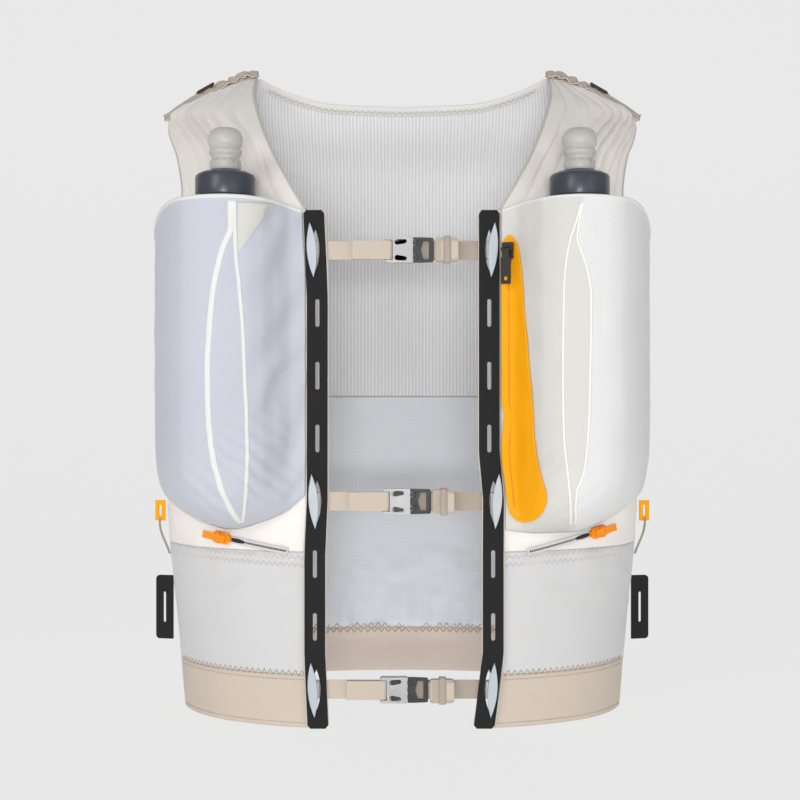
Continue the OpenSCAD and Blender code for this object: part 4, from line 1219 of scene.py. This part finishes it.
def make_rail_trim(mats):
    """Pointed tabs through the rails' slots and a pale edge line down each side of each rail."""
    copy_piece("strap_anchors", "vest", mats["tab_grey"], 0.7, 3)
    for side, word in SIDES:
        for k, dx in enumerate((-7.7, 7.7)):
            z = np.linspace(3, RAIL_TOP - 4, 140)
            x = side * (rail_x(side, z)) + dx
            path = np.stack([x, 0 * z - 114.3, z], -1)
            piece = tube_object(word + "_rail_edge_" + str(k), path, 0.55, mats["binding_beige"], 6)
            ride_with(piece)


def make_hardware(mats):
    copy_piece("zip_slider", "chest_zip_body", mats["black_plastic"], 0.3)
    copy_piece("zip_pull", "chest_pull_body", mats["black_plastic"], 0.4)
    copy_piece("left_hip_slider", "left_hip_zip_body", mats["orange_plastic"], 0.3)
    copy_piece("right_hip_slider", "right_hip_zip_body", mats["orange_plastic"], 0.3)
    copy_piece("back_zip_slider", "back_zip_body", mats["orange_plastic"], 0.3)
    for word in ("left", "right"):
        copy_piece(word + "_ladder_lock", word + "_lock_body", mats["black_plastic"], 0.35)
        copy_piece(word + "_cap", word + "_cap_body", mats["navy"], 0.5, 3)
        copy_piece(word + "_bite_valve", word + "_valve_body", mats["valve"], 0.6, 3)
        copy_piece(word + "_flask_collar", word + "_flask_body", mats["soft_clear"], 0.3)
        copy_piece(word + "_flask", word + "_flask_body", mats["soft_clear"], 0.2, sharp=70)
    copy_piece("pole_loops", "vest", mats["rail"], 0.4)
    copy_piece("pull_tabs", "vest", mats["orange_film"], 0.4)


# ---------------------------------------------------------------- shoulders and side loops

RIDGE = [
    (120, 46.5, 507), (126, 47.5, 507), (143, 45, 499), (160, 42, 489.5), (176, 36, 479), (193, 29, 465),
]


def ridge_point(side, x, across, up):
    """Along the shoulder seam: across is the distance over the seam to the front, up is off the cloth."""
    y = smooth(x, [(a, b) for a, b, c in RIDGE])
    z = smooth(x, [(a, c) for a, b, c in RIDGE])
    slope = (smooth(x + 1, [(a, c) for a, b, c in RIDGE]) - smooth(x - 1, [(a, c) for a, b, c in RIDGE])) / 2
    size = np.hypot(slope, 1)
    turn = np.clip(across / RIDGE_ROUND, -0.5, 0.5)
    past = across - turn * RIDGE_ROUND
    reach = RIDGE_ROUND + up
    dy = reach * np.sin(turn) + past * np.cos(turn)
    dz = reach * np.cos(turn) - past * np.sin(turn) - RIDGE_ROUND
    return np.stack([side * (x - slope / size * dz), y - dy, z + dz / size], -1)


RIDGE_ROUND = 5


def bunching(x, across, side):
    """How far the gathered webbing stands off the seam."""
    gather = np.abs(np.sin(x / 2.9 + 0.12 * across + ripple(x / 14, across / 30, 72.0 + side)))
    slack = 2.2 / (1 + np.exp(-(x - 154) / 3))
    return 2.8 * gather * bell(x, 143, 18) + slack + 0.5 * ripple(x / 9, across / 8, 71.0 + side)


def make_shoulder_webbing(mats):
    """Webbing laid over the shoulder seam, bunched where it runs through the ladder-lock."""
    for side, word in SIDES:
        x = np.linspace(119.5, 193, 150)
        a = np.linspace(-6, 15, 24)
        xx, aa = np.meshgrid(x, a, indexing="ij")
        wave = 1.2 * np.sin(xx / 7 + side) * np.clip((aa - 4) / 9, 0, 1)
        p = ridge_point(side, xx, aa + wave, 2.6 + bunching(xx, aa, side))
        if side == LEFT:
            p = p[::-1]
        p = np.ascontiguousarray(np.swapaxes(p, 0, 1))[::-1]
        piece = sheet_object(word + "_shoulder_band", p, mats["webbing_long"], 1.1)
        ride_with(piece, replaces=["shoulder_webbing"])
        for k, edge in enumerate((-5, 13.8)):
            wave = 1.2 * np.sin(x / 7 + side) * np.clip((edge - 4) / 9, 0, 1)
            q = ridge_point(side, x, edge + wave, 2.85 + bunching(x, edge + 0 * x, side))
            path_stitches(word + "_shoulder_edge_" + str(k), q, mats["thread_beige"], 1.5)


EDGE_SECTION = ((0.009, 0.3), (0.006, 0.6), (-0.003, 0.55), (-0.006, -0.4), (-0.003, -1.3), (0.009, -1.5))


def make_edge_bindings(mats):
    """Narrow tape along each front's neck edge and armhole edge."""
    for side, word in SIDES:
        for name, s0, z0, z1 in (("neck_edge", 0.0, RAIL_TOP + 1, 505), ("armhole_edge", 1.0, 305, 465)):
            z = np.linspace(z0, z1, 120)
            rows = []
            for ds, off in EDGE_SECTION:
                s = abs(s0 - 1e-4) + (ds if s0 == 0 else -ds)
                rows.append(front_edge(side, s + 0 * z, z, off))
            p = np.stack(rows, 1)
            if (s0 == 0) != (side == LEFT):
                p = p[:, ::-1]
            piece = sheet_object(word + "_" + name, p, mats["edge_tape"], 0.35)
            ride_with(piece)


def front_edge(side, s, z, off):
    f0, f1 = inner_angle(side, z), np.radians(smooth(z, ARMHOLE))
    f = f0 + (f1 - f0) * s
    x = on_body(z, f)[..., 0]
    p = on_body(z, f, off + 0.25 * front_folds(side, z, x))
    p[..., 0] *= side
    return p


def path_stitches(name, q, mat, pitch, radius=0.24):
    run = run_length(q)
    at = np.arange(0, run[-1], pitch)
    c = along_path(at, run, q)
    pairs = [(c[i], c[i] + 0.7 * (c[i + 1] - c[i])) for i in range(len(c) - 1)]
    up = np.tile([0.0, 0.0, 1.0], (len(pairs), 1))
    return ride_with(stitch_object(name, pairs, up, mat, radius))


def make_side_loops(mats):
    """Thin cord from each pull loop, led down the seam."""
    for side, word in SIDES:
        x0 = float(ring(np.array(150.0))[0]) + 2
        path = []
        for t in np.linspace(0, 1, 40):
            z = 144 - 26 * t
            x = x0 + 3.4 - 9 * t**1.3 + 0.8 * math.sin(5 * t)
            path.append((side * x, -18.5 - 14 * t, z))
        piece = tube_object(word + "_loop_cord", path, 0.85, mats["cord"], 8)
        ride_with(piece)


# ---------------------------------------------------------------- back compartment

BAG_W, BAG_LOW, BAG_TOP, BAG_DEPTH = 115, 70, 425, 25
BACK_ZIP_Z = 340


def bag_point(u, z, out):
    v = 2 * (z - BAG_LOW) / (BAG_TOP - BAG_LOW) - 1
    p = on_body(z, math.pi - front_angle(z, np.maximum(np.abs(u), 1e-4) * BAG_W), 1.4 + out)
    p[..., 0] *= np.where(u < 0, -1, 1)
    p[..., 1] += BAG_DEPTH * (1 - np.abs(u) ** 3) * (1 - np.abs(v) ** 3)
    return p


def bag_folds(u, z):
    edge = (1 - np.abs(u) ** 6) * (1 - np.abs(2 * (z - BAG_LOW) / (BAG_TOP - BAG_LOW) - 1) ** 6)
    sag = np.sin(2 * math.pi * (z - 55 * np.abs(u) ** 1.5) / 62 + 1.2 * ripple(u * 2, z / 60, 81.0))
    return edge * (-0.9 + 0.8 * sag * bell(z, 190, 110) + 0.8 * ripple(u * 3, z / 45, 82.0))


def bag_cloth():
    return Cloth(lambda u, z: bag_point(u / BAG_W, z, bag_folds(u / BAG_W, z)))


def make_back_compartment(mats):
    """Seen from behind, +x is on the left, so columns run from +x to -x."""
    u = np.linspace(1, -1, 150)[None, :]
    z = np.linspace(BAG_LOW, BAG_TOP, 200)[:, None] + 0 * u
    p = bag_point(u + 0 * z, z, bag_folds(u + 0 * z, z))
    piece = sheet_object("back_bag", p, mats["off_white"])
    ride_with(piece, replaces=["back_compartment"])
    rim_u = np.concatenate([np.linspace(1, -1, 60), np.full(90, -1), np.linspace(-1, 1, 60), np.full(90, 1)])
    rise = np.linspace(BAG_LOW, BAG_TOP, 90)
    drop = np.linspace(BAG_TOP, BAG_LOW, 90)
    rim_z = np.concatenate([np.full(60, BAG_LOW), rise, np.full(60, BAG_TOP), drop])
    q = bag_point(rim_u, rim_z, 0 * rim_u + 0.2)
    piece = tube_object("back_bag_binding", q, 1.3, mats["binding"], 8)
    ride_with(piece)
    cloth = bag_cloth()
    for k, at in enumerate((-BAG_W + 6, BAG_W - 6)):
        z = np.linspace(BAG_LOW + 5, BAG_TOP - 5, 160)
        cloth.sew(
            "white_binding", "back_bag_seam_" + str(k), at + 0 * z, z, mats["thread_beige"], 3.2, 2.6, 0.3
        )
    x = np.linspace(66, -66, 120)
    flat = Cloth(lambda a, b: bag_point(a / BAG_W, b, 0.5))
    tape = []
    for h, out in ((-3.4, 0.6), (-2.6, 1.1), (2.6, 1.1), (3.4, 0.6)):
        tape.append(bag_point(x / BAG_W, BACK_ZIP_Z + h + 0 * x, out))
    piece = sheet_object("back_zip_tape", np.stack(tape), mats["zip_tape"], 0.5)
    ride_with(piece, replaces=["back_zip"])
    q = bag_point(x / BAG_W, BACK_ZIP_Z + 0 * x, 1.5)
    m = np.tile([0.0, 1.0, 0.0], (len(x), 1))
    stitch_rows("back_zip_teeth", q, m, mats["zip_teeth"], 2.2, 1.0, 0.42)
    for k, h in enumerate((-5, 5)):
        flat.sew(
            "white_binding", "back_zip_stitching_" + str(k), x, BACK_ZIP_Z + h + 0 * x,
            mats["thread_beige"], 2, 2.6, 0.24, "line",
        )


# ---------------------------------------------------------------- everything together


def make_materials():
    m = {
        "off_white": ripstop("off_white_ripstop", OFF_WHITE, 2.2, 0.95, 1.015),
        "off_white_b": ripstop("pocket_ripstop", srgb(213, 211, 206), 2.2, 0.95, 1.015),
        "hip": plain_knit("hip_stretch", HIP_WHITE),
        "band": woven_band("hem_band", BEIGE, 1.0, 1.6, 0.85, 0.4),
        "back_band": woven_band("back_hem_band", srgb(248, 232, 219), 1.0, 1.6, 0.85, 0.4),
        "side_mesh": knit_mesh("side_mesh", MESH_GREY, 2.0, 1.8),
        "back_mesh": rib_mesh("back_mesh", MESH_GREY),
        "lower_back": ripstop("lower_back_ripstop", BLUE_GREY, 4.0),
        "lavender": knit_mesh("lavender_mesh", LAVENDER, 1.3, 1.2, 0.9),
        "grid_mesh": ripstop("grid_mesh", GRID_WHITE, 4.6, 0.92, 1.03),
        "rim": plain_knit("pocket_rim", srgb(224, 224, 222), 0.7, 0.8),
        "edge_tape": plain_knit("edge_tape", srgb(204, 199, 191), 0.75, 0.8),
        "cream": plain_knit("cream_stretch", srgb(214, 212, 207)),
        "binding": plain_knit("white_binding", BINDING_WHITE, 0.7, 0.8),
        "binding_beige": plain_knit("rail_edge", srgb(206, 196, 186), 0.7, 0.8),
        "piping": plain_knit("piping", srgb(244, 242, 236), 0.6, 0.7),
        "rail": woven_band("rail_tape", TAPE_BLACK, 1.6, 2.6, 0.72, 0.5),
        "webbing": woven_band("beige_webbing", BEIGE),
        "webbing_long": woven_band("shoulder_webbing", BEIGE, 1.2, 2.4),
        # Beige webbing darkened to 0.8 as painted shade, for the rolled strap tail.
        "webbing_painted_shade": woven_band("webbing_fold_painted_shade", shade(BEIGE, 0.8)),
        "elastic": woven_band("elastic_tape", shade(BEIGE, 0.85), 0.9, 0.9, 0.85, 0.9),
        "elastic_dark": woven_band("keeper_elastic", shade(BEIGE, 0.88), 0.9, 0.9, 0.85, 0.9),
        "orange_film": film("orange_film", ORANGE),
        "orange_plastic": plastic("orange_plastic", DEEP_ORANGE, 0.4),
        "black_plastic": plastic("black_plastic", PLASTIC_BLACK, 0.45),
        "clear_grey": plastic("clear_grey_plastic", CLEAR_GREY, 0.35, 0.25),
        "tab_grey": plastic("tab_plastic", srgb(188, 195, 202), 0.4, 0.1),
        "navy": plastic("navy_plastic", NAVY, 0.3),
        "valve": plastic("valve_rubber", srgb(214, 211, 206), 0.35, 0.3),
        "soft_clear": plastic("flask_film", srgb(200, 202, 206), 0.3, 0.35),
        # Near-black cloth used as painted shade in the hip zips.
        "slit_shade": plain_knit("zip_shadow", srgb(44, 44, 50), 0.9),
        "zip_tape": woven_band("zip_tape", srgb(226, 226, 226), 0.7, 1.0, 0.8, 0.4),
        "zip_teeth": plastic("zip_teeth", srgb(176, 182, 194), 0.4),
        "cord": woven_band("loop_cord", srgb(196, 176, 158), 0.6, 0.6, 0.8, 0.6),
        "thread_beige": thread("beige_thread", THREAD_BEIGE),
        "thread_white": thread("white_thread", THREAD_WHITE),
        "thread_orange": thread("orange_thread", srgb(240, 160, 10)),
        "thread_orange_dark": thread("orange_coil", srgb(226, 140, 8)),
    }
    return m


def main():
    set_view()
    add_light()
    add_floor()
    mats = make_materials()
    make_fronts(mats)
    make_sides(mats)
    make_back(mats)
    make_neck_binding(mats)
    make_rails(mats)
    make_rail_trim(mats)
    make_left_pocket(mats)
    make_right_pocket(mats)
    make_zip_panel(mats)
    make_hem_trim(mats)
    make_hip_zips(mats)
    make_straps(mats)
    make_hardware(mats)
    make_shoulder_webbing(mats)
    make_edge_bindings(mats)
    make_side_loops(mats)
    make_back_compartment(mats)


main()
